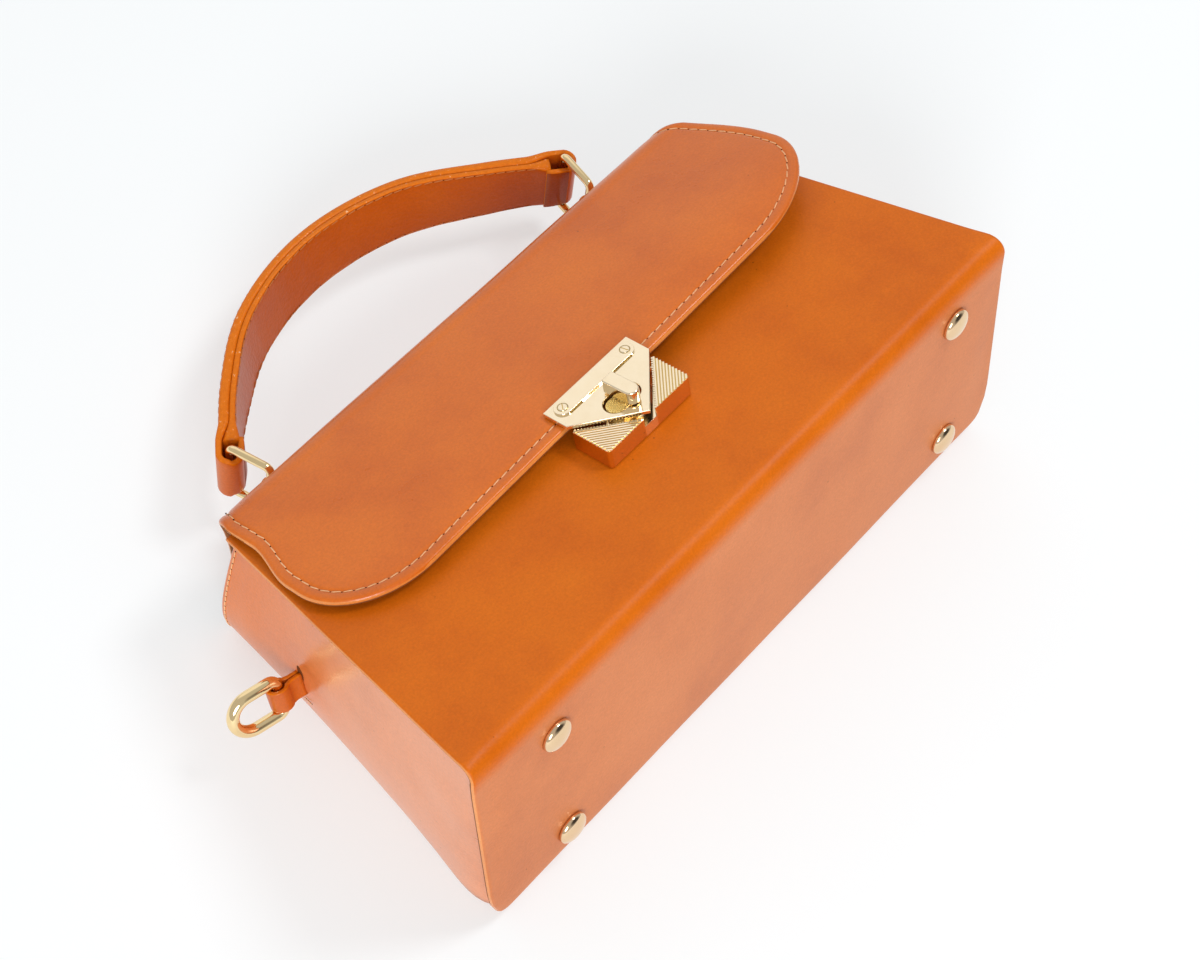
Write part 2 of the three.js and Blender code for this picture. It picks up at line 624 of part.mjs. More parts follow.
function addSideRings() {
  for (const { side, sign, swing } of SIDE_SWINGS) {
    const frontUp = (SIDE_TAB_Y - FRONT_FOOT.x) / FRONT_UP.x;
    const across = SIDE_TAB_Z / onFront(0, frontUp, 0).z;
    const half = lerp(backHalf(SIDE_TAB_Y), frontHalf(frontUp), across) - SEAM_INSET;
    const x = half + gussetBulge(SIDE_TAB_Y, SIDE_TAB_Z, across);
    const out = new THREE.Vector3(sign * Math.cos(rad(SIDE_OUT_TILT)), Math.sin(rad(SIDE_OUT_TILT)), 0);
    const down = new THREE.Vector3(0, -Math.sin(rad(SIDE_BAR_TILT)), -Math.cos(rad(SIDE_BAR_TILT)));
    const bar = down.addScaledVector(out, -down.dot(out)).normalize();
    const basis = new THREE.Matrix4().makeBasis(out, bar, out.clone().cross(bar));
    const seat = new THREE.Group();
    seat.position.set(sign * x, SIDE_TAB_Y, SIDE_TAB_Z).addScaledVector(out, GAP);
    seat.quaternion.setFromRotationMatrix(basis);
    bag.add(seat);
    addMesh(seat, `side_tab_${side}`, sideTabGeometry(), leather);
    const ring = addMesh(seat, `side_ring_${side}`, sideRingGeometry(), gold);
    ring.position.x = SIDE_TAB_REACH;
    ring.rotation.y = rad(swing);
  }
}

// Feet: low domes with a small rim, standing on the base
function footGeometry() {
  const profile = [new THREE.Vector2(0, 0), new THREE.Vector2(FOOT_RADIUS, 0)];
  for (let step = 0; step <= CORNER_STEPS; step++) {
    const angle = (Math.PI / 2) * (step / CORNER_STEPS);
    const height = lerp(FOOT_RIM, FOOT_HEIGHT, Math.sin(angle));
    profile.push(new THREE.Vector2(step < CORNER_STEPS ? FOOT_RADIUS * Math.cos(angle) : 0, height));
  }
  return new THREE.LatheGeometry(profile, ROUND_SIDES).rotateX(Math.PI / 2);
}

function addFeet() {
  const base = new THREE.Group();
  base.rotation.x = rad(90 - BASE_LEAN);
  bag.add(base);
  for (const { row, side, x, fromFront } of FEET) {
    const foot = addMesh(base, `foot_${row}_${side}`, footGeometry(), footMetal);
    foot.position.set(x, BASE_DEPTH - fromFront, GAP);
  }
}

addMesh(bag, 'body', bodyGeometry(), leather);
addMesh(bag, 'gusset_left', gussetGeometry(-1), leather);
addMesh(bag, 'gusset_right', gussetGeometry(1), leather);
addMesh(bag, 'flap', flapGeometry(), leather);
addLock();
addRingsAndTabs();
addMesh(bag, 'handle', handleGeometry(), leather);
addSideRings();
addFeet();

export default bag;
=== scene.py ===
# Tan leather handbag lying on its back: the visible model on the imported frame.
# Sizes are millimetres in the bag's own frame, with Y from the base fold.
from math import atan2, copysign, cos, exp, hypot, pi, radians, sin, sqrt, tan

import bmesh
import bpy
from mathutils import Matrix, Vector, noise


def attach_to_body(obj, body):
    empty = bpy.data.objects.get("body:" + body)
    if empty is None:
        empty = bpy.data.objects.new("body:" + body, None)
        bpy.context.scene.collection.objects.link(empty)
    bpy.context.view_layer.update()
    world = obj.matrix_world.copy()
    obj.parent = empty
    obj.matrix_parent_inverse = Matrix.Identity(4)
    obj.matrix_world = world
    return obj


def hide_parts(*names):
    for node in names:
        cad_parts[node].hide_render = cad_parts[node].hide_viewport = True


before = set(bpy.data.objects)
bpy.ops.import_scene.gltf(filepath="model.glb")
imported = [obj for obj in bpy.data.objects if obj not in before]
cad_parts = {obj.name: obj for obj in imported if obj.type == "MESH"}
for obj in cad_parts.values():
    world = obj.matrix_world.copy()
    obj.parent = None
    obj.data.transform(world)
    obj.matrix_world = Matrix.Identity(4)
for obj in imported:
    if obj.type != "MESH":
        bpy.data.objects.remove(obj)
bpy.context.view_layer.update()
MM = 0.001
BACK_CENTRE = 65

# Body
BASE_HALF = 122.5
FRONT_TOP_HALF = 103.5
BACK_TOP_HALF = 102.5
BACK_PINCH = 2.5
BASE_DEPTH = 91.5
BASE_LEAN = radians(9.7)
FRONT_SLOPE = radians(17.4)
FRONT_LENGTH = 118.5
BACK_LENGTH = 130
FOLD_RADIUS = 6
LEATHER = 2.2
GAP = 0.3
RIM_FLAT = 0.05
BODY_WAVE = 0.28
BODY_WAVE_SIZE = 47
BODY_CALM = (2, 14)

# Gussets
GUSSET_LEATHER = 1.8
SEAM_INSET = 1.3
SEAM_LAP = 0.2
BACK_COVER = 1.7
HEM_DROP = 2
HEM_BULGE = 5.6
HEM_PITCH = 3
HEM_STITCH = 1.8
BELLY_LOW = 0.6
BELLY_SKEW = 0.65
PINCH_BULGE = 0.3
PINCH_REACH = 9
DENT_DEPTH = 0.3
DENT_ABOVE_TAB = 11
BACK_CORNER_PULL = 3.5
BACK_CORNER_SPREAD = 9
CORNER_DROP = 1.2
CORNER_REACH = 5
CORNER_PEAK = 0.9
PEAK_REACH = 11
PEAK_SPREAD = 4.5
BASE_SWELL = 0.5
GUSSET_WAVE = 0.3
GUSSET_WAVE_SIZE = 19
CREASE = 0.16
CREASE_SIZE = 4.5
CREASE_STRETCH = 6
SLIT_PULL = 0.8
PULL_Y = -1.5
PULL_Z = 6.5
PULL_REACH_Y = 4.5
PULL_REACH_Z = 4

# Flap
FLAP_LEATHER = 3
FLANGE_START = 112
FLANGE_HALF = 92
LID_RADIUS = 9
LID_BACK = 129.2
LID_FRONT_UP = 117.5
LID_BACK_HALF = 94.7
LID_FRONT_HALF = 100.3
FLAP_END_UP = 57
FLAP_FOLD_RISE = 4.5
FLAP_LOCK_RISE = 7.7
FLAP_LEFT_SAG = 3
FLAP_RIGHT_LIFT = 3.4
FLAP_FLAT_UP = 67
FLAP_FLAT_HALF = 22
FLAP_STITCH = 3.8
FLAP_CROWN = 0.8
CROWN_REACH = 16
LID_TUCK = 2.2
TUCK_START = 80
FLAP_RIM_FLAT = 0.1
FLAP_WAVE = 0.3
FLAP_WAVE_SIZE = 42
FLAP_CALM = (6, 20)
SEAM_PRESS = 0.35
SEAM_WIDTH = 0.7
PAD_SLOPE = 0.2
PAD_START = 3
PAD_REACH = 4

# The flap's two ends: half width, its rounded corner, and the stretch where it narrows towards the lid
FLAP_LEFT = {
    "half": 107.3, "corner_wide": 32, "corner_high": 25, "wide_up": 87, "neck_up": 107, "neck_half": 102.6
}
FLAP_RIGHT = {
    "half": 114.4, "corner_wide": 40, "corner_high": 27, "wide_up": 90, "neck_up": 150, "neck_half": 99.9
}

# Lock
PLATE_HALF = 18.85
PLATE_TOP = 65.3
PLATE_SHOULDER = 55.9
PLATE_TIP = 39.6
PLATE_RISE = 8
PLATE_THICKNESS = 1.5
SLOT_UP = 49.8
SLOT_RADIUS = 3.8
SLOT_LEFT = 7.6
SLOT_RIGHT = 6
BAR_UP = 61.5
BAR_HALF = 14.1
SCREW_RADIUS = 1.7
BOX_HALF = 18.3
BOX_LOW = 39.9
BOX_HIGH = 54.3
BOX_RISE = 7.5
NOTCH_FLOOR = 4.5
NOTCH_MOUTH_HALF = 2.7
NOTCH_TOP_HALF = 17.9
SEAT_EDGE = 0.7
SEAT_RISE = 8.8
KNOB_LENGTH = 12
KNOB_WIDTH = 5
KNOB_LOW = 10
KNOB_HIGH = 15
KNOB_POST = 2.4
KNOB_CHAMFER = 0.6
KNOB_NECK = 2.2
KNOB_TURN = radians(2)

# Handle
HANDLE_HEIGHT = 27
STRAP_WIDTH = 21
STRAP_END_WIDTH = 19
STRAP_OUTER = 3.4
STRAP_INNER = 2
STRAP_LOOP = 3.5
LOOP_FADE = 9
STRAP_TAB = 1
STRAP_END = 7
STRAP_STITCH = 1.1
STRAP_THREAD_RADIUS = 0.16
STITCH_SINK = 0.15
SEWN_CLEAR = 3
TURN_CLEAR = 2
LINING_INSET = 0.2
LINING_CLEAR = 0.8
LINING_WAVE = 0.2
LINING_WAVE_SIZE = 7
RING_WIRE = 1.4
RING_HEIGHT = 25.4
RING_REACH = 14.6
RING_CORNER = 2.2
TAB_STANDOFF = 4.6
TAB_LENGTH = 9
TAB_THICKNESS = 1.6
TAB_WAIST = 2.2
TAB_NECK = 0.9
TAB_FOOT_STEPS = (3.6, 5, 7, 9)
RING_PLACES = (("left", -71.6, radians(13)), ("right", 78.1, radians(-11.5)))
HANDLE_ROUTE = ((-57, 171.5, 8), (-33, 186.3, 15), (-1, 192.3, 19), (33, 186, 17), (60, 170.5, 8))

# Side tabs and rings
SIDE_TAB_Y = 89.2
SIDE_TAB_Z = 26
SIDE_TAB_REACH = 8
SIDE_TAB_FOOT = 8.6
SIDE_TAB_THICKNESS = 1.5
SIDE_TAB_SPLIT = 0.85
SIDE_TAB_FLARE = 0.02
SIDE_TAB_STEPS = (0.2, 1.2, 2.4, 3.6)
SIDE_SLIT = 14.5
SLIT_HALF = 1.9
SLIT_DEPTH = 0.5
TACK_HALF = 2.2
TACK_PITCH = 1.1
TACK_THREAD = 0.2
SIDE_EYE_LENGTH = 8.2
SIDE_RING_WIRE = 2
SIDE_RING_HALF = 6.4
SIDE_RING_REACH = 16.2
SIDE_RING_CORNER = 2.4
SIDE_OUT_TILT = radians(12)
SIDE_BAR_TILT = radians(26)
SIDE_SWINGS = (("left", -1, 0), ("right", 1, radians(-60)))

# Feet
FOOT_RADIUS = 5.5
FOOT_HEIGHT = 3
FOOT_RIM = 0.7
# Row, side, distance from the middle and from the front fold's sharp corner
FEET = (
    ("front", "left", -90.2, 19.7),
    ("front", "right", 96.6, 16.4),
    ("back", "left", -87.9, 76.2),
    ("back", "right", 96.6, 74.8),
)

# Distances from a leather edge where the mesh has a line, close together at the rounded rim
EDGE_STEPS = (0, 0.1, 0.3, 0.6, 1, 1.6, 2.4, 3.2, 3.8, 4.2, 4.6, 5, 5.4, 6, 7, 8.5, 10.5, 13)
# Bands of the outer face next to each edge that take the rim material: a paler painted highlight line
RIM_HIGHLIGHT_STEPS = 2


def lerp(a, b, t):
    return a + (b - a) * t


def clamp(t):
    return min(max(t, 0), 1)


def smoothstep(value, low, high):
    t = clamp((value - low) / (high - low))
    return t * t * (3 - 2 * t)


# Section of the body, as Y and Z
BASE_UP = Vector((sin(BASE_LEAN), cos(BASE_LEAN)))
BASE_OUT = Vector((-BASE_UP.y, BASE_UP.x))
FRONT_UP = Vector((cos(FRONT_SLOPE), -sin(FRONT_SLOPE)))
FRONT_OUT = Vector((-FRONT_UP.y, FRONT_UP.x))
BACK_OUT = Vector((0, -1))
FRONT_FOOT = BASE_UP * BASE_DEPTH
FRONT_FRAME = Matrix.Translation((0, FRONT_FOOT.x, FRONT_FOOT.y)) @ Matrix.Rotation(-FRONT_SLOPE, 4, "X")
BASE_FRAME = Matrix.Rotation(pi / 2 - BASE_LEAN, 4, "X")


def on_front(x, up, out):
    return FRONT_FRAME @ Vector((x, up, out))


def fold_centre(corner, out_a, out_b):
    return corner - (out_a + out_b) * (FOLD_RADIUS / (1 + out_a.dot(out_b)))


BACK_FOLD = fold_centre(Vector((0, 0)), BACK_OUT, BASE_OUT)
FRONT_FOLD = fold_centre(FRONT_FOOT, BASE_OUT, FRONT_OUT)
FOLD_UP = (FRONT_FOLD - FRONT_FOOT).dot(FRONT_UP)
TURN_BACK = radians(90) + BASE_LEAN
TURN_FRONT = radians(90) + FRONT_SLOPE - BASE_LEAN
BACK_FOLD_START = BACK_LENGTH - BACK_FOLD.x
RUN_BASE = (FRONT_FOLD - BACK_FOLD).length
RUN_FRONT = FRONT_LENGTH - FOLD_UP
BASE_START = BACK_FOLD_START + FOLD_RADIUS * TURN_BACK
FRONT_FOLD_START = BASE_START + RUN_BASE
FRONT_START = FRONT_FOLD_START + FOLD_RADIUS * TURN_FRONT
RUN_TOTAL = FRONT_START + RUN_FRONT


def back_half(y):
    along = clamp(y / BACK_LENGTH)
    return lerp(BASE_HALF, BACK_TOP_HALF, along) - BACK_PINCH * sin(pi * along)


def front_half(up):
    return lerp(BASE_HALF, FRONT_TOP_HALF, max(up, 0) / FRONT_LENGTH)


def back_cover(run):
    """1 along the back panel, where the gusset hides the panel's edge, and 0 from the base on."""
    return 1 - smoothstep(run, BACK_FOLD_START - 4, BASE_START - 2)


def fold_share(run, start, end, reach):
    """1 in the middle of a fold, falling to 0 beyond its reach."""
    return exp(-(((run - (start + end) / 2) / reach) ** 2))


def section(run):
    """Point, outward normal and half width, at a distance along the section from the back's top edge."""
    point, out, half = straight_section(run)
    pull = BACK_CORNER_PULL * fold_share(run, BACK_FOLD_START, BASE_START, BACK_CORNER_SPREAD)
    return point, out, half - pull


def on_fold(centre, angle, half):
    out = Vector((cos(angle), sin(angle)))
    return centre + out * FOLD_RADIUS, out, half


def straight_section(run):
    if run < BACK_FOLD_START:
        y = BACK_LENGTH - run
        return Vector((y, 0)), BACK_OUT, back_half(y)
    if run < BASE_START:
        angle = -pi / 2 - (run - BACK_FOLD_START) / FOLD_RADIUS
        share = (run - BACK_FOLD_START) / (BASE_START - BACK_FOLD_START)
        return on_fold(BACK_FOLD, angle, lerp(back_half(BACK_FOLD.x), BASE_HALF, share))
    if run < FRONT_FOLD_START:
        return BACK_FOLD + BASE_OUT * FOLD_RADIUS + BASE_UP * (run - BASE_START), BASE_OUT, BASE_HALF
    if run < FRONT_START:
        angle = -pi - BASE_LEAN - (run - FRONT_FOLD_START) / FOLD_RADIUS
        share = (run - FRONT_FOLD_START) / (FRONT_START - FRONT_FOLD_START)
        return on_fold(FRONT_FOLD, angle, lerp(BASE_HALF, front_half(FOLD_UP), share))
    up = FOLD_UP + run - FRONT_START
    return FRONT_FOOT + FRONT_UP * up, FRONT_OUT, front_half(up)


# Meshes
def add_object(name, data):
    piece = bpy.data.objects.new(name, data)
    bpy.context.collection.objects.link(piece)
    return piece


def settle(mesh, merge=0):
    """Joins points that lie within a distance and turns the faces outwards."""
    work = bmesh.new()
    work.from_mesh(mesh)
    if merge:
        bmesh.ops.remove_doubles(work, verts=work.verts, dist=merge)
    bmesh.ops.recalc_face_normals(work, faces=work.faces)
    work.to_mesh(mesh)
    work.free()


def make_mesh(name, points, faces, materials, slots=None):
    mesh = bpy.data.meshes.new(name)
    mesh.from_pydata([(p[0] * MM, (p[1] - BACK_CENTRE) * MM, p[2] * MM) for p in points], [], faces)
    for material in materials:
        mesh.materials.append(material)
    if slots:
        mesh.polygons.foreach_set("material_index", slots)
    mesh.polygons.foreach_set("use_smooth", [True] * len(mesh.polygons))
    settle(mesh)
    return add_object(name, mesh)


def attach(piece, slot, *nodes, body="bag"):
    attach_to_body(piece, body)
    if nodes:
        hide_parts(*nodes)


def wall(name, outer, inner, materials):
    """A leather wall from two grids of points, joined round the rim. Materials: outer, inner and rim; a paler
    rim material is a painted highlight along the edges.
    """
    rows, columns = len(outer), len(outer[0])
    rim = len(materials) - 1 if len(materials) > 2 else 0
    points = [p for grid in (outer, inner) for row in grid for p in row]
    faces, slots = [], []

    def at(face, row, column):
        return (face * rows + row) * columns + column

    def add(slot, *corners):
        faces.append(corners)
        slots.append(slot)

    for r in range(rows - 1):
        for c in range(columns - 1):
            near_rim = min(r, c, rows - 2 - r, columns - 2 - c) < RIM_HIGHLIGHT_STEPS
            face_slot = rim if near_rim else 0
            add(face_slot, at(0, r, c), at(0, r, c + 1), at(0, r + 1, c + 1), at(0, r + 1, c))
            add(1, at(1, r, c), at(1, r + 1, c), at(1, r + 1, c + 1), at(1, r, c + 1))
    for r in range(rows - 1):
        for c in (0, columns - 1):
            add(rim, at(0, r, c), at(0, r + 1, c), at(1, r + 1, c), at(1, r, c))
    for c in range(columns - 1):
        for r in (0, rows - 1):
            add(rim, at(0, r, c), at(0, r, c + 1), at(1, r, c + 1), at(1, r, c))
    return make_mesh(name, points, faces, materials, slots)


def spread(left, right, middle):
    """Places across a panel, from edge to edge, with close lines at both rims."""
    first, last = EDGE_STEPS[-1] - left, right - EDGE_STEPS[-1]
    inside = [lerp(first, last, i / middle) for i in range(1, middle)]
    return [d - left for d in EDGE_STEPS] + inside + [right - d for d in reversed(EDGE_STEPS)]


def rim_drop(distance, radius):
    """How far a rounded rim falls below the face, at a distance from the edge."""
    if distance >= radius:
        return 0
    return radius - sqrt(max(radius**2 - (radius - distance) ** 2, 0))


def waves(x, y, size, seed):
    """Slow unevenness of a leather panel, about -1 to 1."""
    return noise.noise(Vector((x / size, y / size, seed)))


def circle(sides):
    """Cosine and sine pairs, once round."""
    turns = [2 * pi * k / sides for k in range(sides)]
    return [(cos(turn), sin(turn)) for turn in turns]


def tube_faces(faces, start, rings, sides):
    """Faces of a closed tube whose rings of points follow each other from the start index."""
    for i in range(rings - 1):
        for k in range(sides):
            j = (k + 1) % sides
            row, after = start + i * sides, start + (i + 1) * sides
            faces.append((row + k, row + j, after + j, after + k))
    faces.append(tuple(range(start, start + sides)))
    faces.append(tuple(range(start + (rings - 1) * sides, start + rings * sides)))


# Swept strips of leather: shares of the thickness that are rounded, and that show the cut edge
ROUNDED_SHARE = 0.38
CUT_SHARE = 0.3


def strip_section(width, thickness):
    """A rounded flat section: across and out pairs."""
    corner = thickness * ROUNDED_SHARE
    half_w, half_t = width / 2 - corner, thickness / 2 - corner
    loop = []
    for quarter, (sign_a, sign_o) in enumerate(((1, 1), (-1, 1), (-1, -1), (1, -1))):
        for step in range(5):
            angle = pi / 2 * (quarter + step / 4)
            turn_a, turn_o = corner * cos(angle), corner * sin(angle)
            loop.append((sign_a * half_w + turn_a, sign_o * half_t + turn_o))
        if sign_a * sign_o > 0:
            ends = loop[-1][0], -loop[-1][0]
            loop += [(lerp(*ends, i / 10), loop[-1][1]) for i in range(1, 10)]
    return loop


def strip(name, stations, look, *nodes):
    """A leather strip along stations of (centre, across, out, width, thickness), with dyed cut edges."""
    points, faces = [], []
    for centre, across, out, width, thickness in stations:
        points += [centre + across * a + out * o for a, o in strip_section(width, thickness)]
    width, thickness = stations[0][3:]
    reach = [abs(a) for a, o in strip_section(width, thickness)]
    tube_faces(faces, 0, len(stations), len(reach))
    cut = width / 2 - thickness * CUT_SHARE
    round_once = [int(min(a, b) > cut) for a, b in zip(reach, reach[1:] + reach[:1])]
    slots = round_once * (len(stations) - 1) + [1, 1]
    attach(make_mesh(name, points, faces, [look, STRAP_EDGE], slots), "tan_leather", *nodes)


def moved(stations, matrix):
    """Stations carried along by a matrix."""
    spin = matrix.to_3x3()
    return [(matrix @ c, spin @ a, spin @ o, w, t) for c, a, o, w, t in stations]


def flat_stations(route, across, sizes):
    """Stations along a flat route. across is the width direction, sizes gives width and thickness."""
    stations = []
    for i, point in enumerate(route):
        ahead = route[min(i + 1, len(route) - 1)] - route[max(i - 1, 0)]
        out = ahead.cross(across).normalized()
        stations.append((point, across, out, *sizes(i / (len(route) - 1))))
    return stations


# Metal plates from outlines, with rounded edges
SHARP_ANGLE = radians(40)


def plate(name, loops, low, high, bevel, material, matrix):
    curve = bpy.data.curves.new(name, "CURVE")
    curve.dimensions = "2D"
    curve.fill_mode = "BOTH"
    curve.extrude = (high - low) / 2 - bevel
    curve.bevel_depth = bevel
    curve.bevel_resolution = 2
    curve.offset = -bevel
    for loop in loops:
        spline = curve.splines.new("POLY")
        spline.points.add(len(loop) - 1)
        for point, (x, y) in zip(spline.points, loop):
            point.co = (x, y, 0, 1)
        spline.use_cyclic_u = True
    holder = bpy.data.objects.new(name, curve)
    mesh = bpy.data.meshes.new_from_object(holder)
    bpy.data.objects.remove(holder)
    bpy.data.curves.remove(curve)
    place = matrix @ Matrix.Translation((0, 0, (low + high) / 2))
    points = [place @ v.co for v in mesh.vertices]
    faces = [tuple(f.vertices) for f in mesh.polygons]
    bpy.data.meshes.remove(mesh)
    piece = make_mesh(name, points, faces, [material])
    settle(piece.data, 1e-6)
    piece.data.set_sharp_from_angle(angle=SHARP_ANGLE)
    flat = piece.modifiers.new("flat faces", "WEIGHTED_NORMAL")
    flat.keep_sharp = True
    return piece


def arc(cx, cy, radius, start, end, steps):
    angles = [radians(lerp(start, end, i / steps)) for i in range(steps + 1)]
    return [(cx + radius * cos(a), cy + radius * sin(a)) for a in angles]


def rectangle(left, low, right, high):
    return [(left, low), (right, low), (right, high), (left, high)]


def capsule(half, radius, up):
    return arc(half - radius, up, radius, -90, 90, 16) + arc(radius - half, up, radius, 90, 270, 16)


def wire(name, loop, radius, material, matrix):
    """A closed ring of round wire along a flat loop."""
    points, faces = [], []
    sides, count = 20, len(loop)
    for i in range(count):
        here, ahead, behind = Vector(loop[i]), Vector(loop[(i + 1) % count]), Vector(loop[i - 1])
        along = ((ahead - here).normalized() + (here - behind).normalized()).normalized()
        aside = Vector((along.y, -along.x, 0))
        for cosine, sine in circle(sides):
            centre = Vector((here.x, here.y, radius * sine))
            points.append(matrix @ (centre + aside * radius * cosine))
    for i in range(count):
        for k in range(sides):
            j, n = (k + 1) % sides, (i + 1) % count
            faces.append((i * sides + k, i * sides + j, n * sides + j, n * sides + k))
    return make_mesh(name, points, faces, [material])


def lathe(name, profile, material, matrix):
    """A round piece from (radius, height) pairs, its axis along the matrix's Z."""
    sides = 48
    points, faces = [], []
    for radius, height in profile:
        points += [matrix @ Vector((radius * c, radius * s, height)) for c, s in circle(sides)]
    tube_faces(faces, 0, len(profile), sides)
    return make_mesh(name, points, faces, [material])


# Sewing: rows of slanted thread, each stitch sinking into a hole at both ends, where a flat dark ball is the
# hole's painted shade
STITCH_PITCH = 3.5
STITCH_SHARE = 0.95
THREAD_RADIUS = 0.22
STITCH_SLANT = radians(6)
HOLE_RADIUS = 0.3


def ball(points, faces, centre, axes, rings, sides):
    """Adds a closed ball, stretched along three axes, to a mesh's points and faces."""
    start = len(points)
    for i in range(rings + 1):
        turn_up = pi * (i + 0.02) / (rings + 0.04) - pi / 2
        for cosine, sine in circle(sides):
            flat = axes[0] * cosine + axes[1] * sine
            points.append(centre + flat * cos(turn_up) + axes[2] * sin(turn_up))
    tube_faces(faces, start, rings + 1, sides)


def along_seam(seam, pitch):
    """Places along a seam of (point, normal) pairs, one for each stitch: middle, direction and normal."""
    travelled, due = 0, pitch / 2
    for (a, normal_a), (b, normal_b) in zip(seam, seam[1:]):
        step = (b - a).length
        while step > 0 and due <= travelled + step:
            share = (due - travelled) / step
            yield a.lerp(b, share), (b - a).normalized(), normal_a.lerp(normal_b, share).normalized()
            due += pitch
        travelled += step


def stitches(name, seam, pitch=STITCH_PITCH, radius=THREAD_RADIUS, thread=None):
    """A row of stitches and the dark balls of painted shade at its holes, in one mesh."""
    points, faces, rings, sides = [], [], 7, 8
    length = pitch * STITCH_SHARE
    for centre, ahead, normal in along_seam(seam, pitch):
        along = Matrix.Rotation(STITCH_SLANT, 3, normal) @ ahead
        aside = normal.cross(along)
        start = len(points)
        for i in range(rings):
            s = 2 * i / (rings - 1) - 1
            thick = radius * sqrt(max(1 - s**6, 0.02))
            lift = radius * (0.5 - s**8)
            for cosine, sine in circle(sides):
                ring = aside * thick * cosine + normal * (lift + thick * sine)
                points.append(centre + along * (s * length / 2) + ring)
        tube_faces(faces, start, rings, sides)
    thread_faces = len(faces)
    hole = HOLE_RADIUS * radius / THREAD_RADIUS
    for centre, ahead, normal in along_seam(seam, pitch):
        axes = (ahead * hole, normal.cross(ahead) * hole, normal * hole * 0.45)
        ball(points, faces, centre + ahead * (pitch / 2), axes, 4, 8)
    slots = [0 if i < thread_faces else 1 for i in range(len(faces))]
    attach(make_mesh(name, points, faces, [thread or THREAD, HOLE_SHADE], slots), "tan_leather")


# Materials
MOTTLE_SCALE = 26
GRAIN_SCALE = 1300
PEBBLE_SCALE = 900
SPECK_SCALE = 260
SPECK_GROUPS = 190
WRINKLE_SCALE = 330
FLECK_SCALE = 800
BUMP_DEPTH = 0.0004
WIPE_SCALE = 160
WIPE_STRETCH = (900, 90, 900)
WIPE_DEPTH = 0.0002


def nodes_of(name):
    """A new material with its node tree, its shader and the place on the piece."""
    material = bpy.data.materials.new(name)
    material.use_nodes = True
    tree = material.node_tree
    place = linked(tree, "ShaderNodeTexCoord").outputs["Object"]
    return material, tree, tree.nodes["Principled BSDF"], place


def fill(tree, node, inputs):
    """Sets a node's inputs to values, or links them to other nodes' outputs."""
    for key, value in inputs:
        if isinstance(value, bpy.types.NodeSocket):
            tree.links.new(value, node.inputs[key])
        else:
            node.inputs[key].default_value = value


def linked(tree, kind, settings=(), inputs=()):
    node = tree.nodes.new(kind)
    for key, value in settings:
        setattr(node, key, value)
    fill(tree, node, inputs)
    return node


def maths(tree, operation, *values, kind="ShaderNodeMath", output=0):
    """The result of a calculation on values or other nodes' outputs."""
    return linked(tree, kind, [("operation", operation)], enumerate(values)).outputs[output]


def facing(tree, direction, towards):
    """How far a vector goes along a direction."""
    return maths(tree, "DOT_PRODUCT", direction, towards, kind="ShaderNodeVectorMath", output="Value")


def stretched(tree, place, scale):
    return linked(tree, "ShaderNodeMapping", inputs=[("Vector", place), ("Scale", scale)]).outputs[0]


def ramp(tree, factor, stops):
    node = linked(tree, "ShaderNodeValToRGB", inputs=[("Fac", factor)])
    while len(node.color_ramp.elements) < len(stops):
        node.color_ramp.elements.new(0.5)
    for element, (place, colour) in zip(node.color_ramp.elements, stops):
        element.position = place
        element.color = colour
    return node.outputs["Color"]


def grey(value):
    return (value, value, value, 1)


def tone(colour, factors):
    return (*[c * f for c, f in zip(colour, factors)], 1)


def mixed(tree, factor, first, second, blend="MIX"):
    settings = [("data_type", "RGBA"), ("blend_type", blend)]
    return linked(tree, "ShaderNodeMix", settings, [(0, factor), (6, first), (7, second)]).outputs[2]


def mottled(tree, cloud, main):
    deep, pale = tone(main, (0.88, 0.8, 0.7)), tone(main, (1.06, 1.14, 1.3))
    return ramp(tree, cloud, [(0.3, deep), (0.52, (*main, 1)), (0.74, pale)])


def painted_sheen_share(tree, place, heading, near, far):
    """Share of the painted sheen colour: 1 up to a near distance and 0 from a far one, in millimetres along a
    heading in Y and Z.
    """
    along = facing(tree, place, (0, *heading))
    inputs = [("Value", along), ("From Min", near * MM), ("From Max", far * MM)]
    inputs += [("To Min", 1), ("To Max", 0)]
    return linked(tree, "ShaderNodeMapRange", inputs=inputs).outputs["Result"]


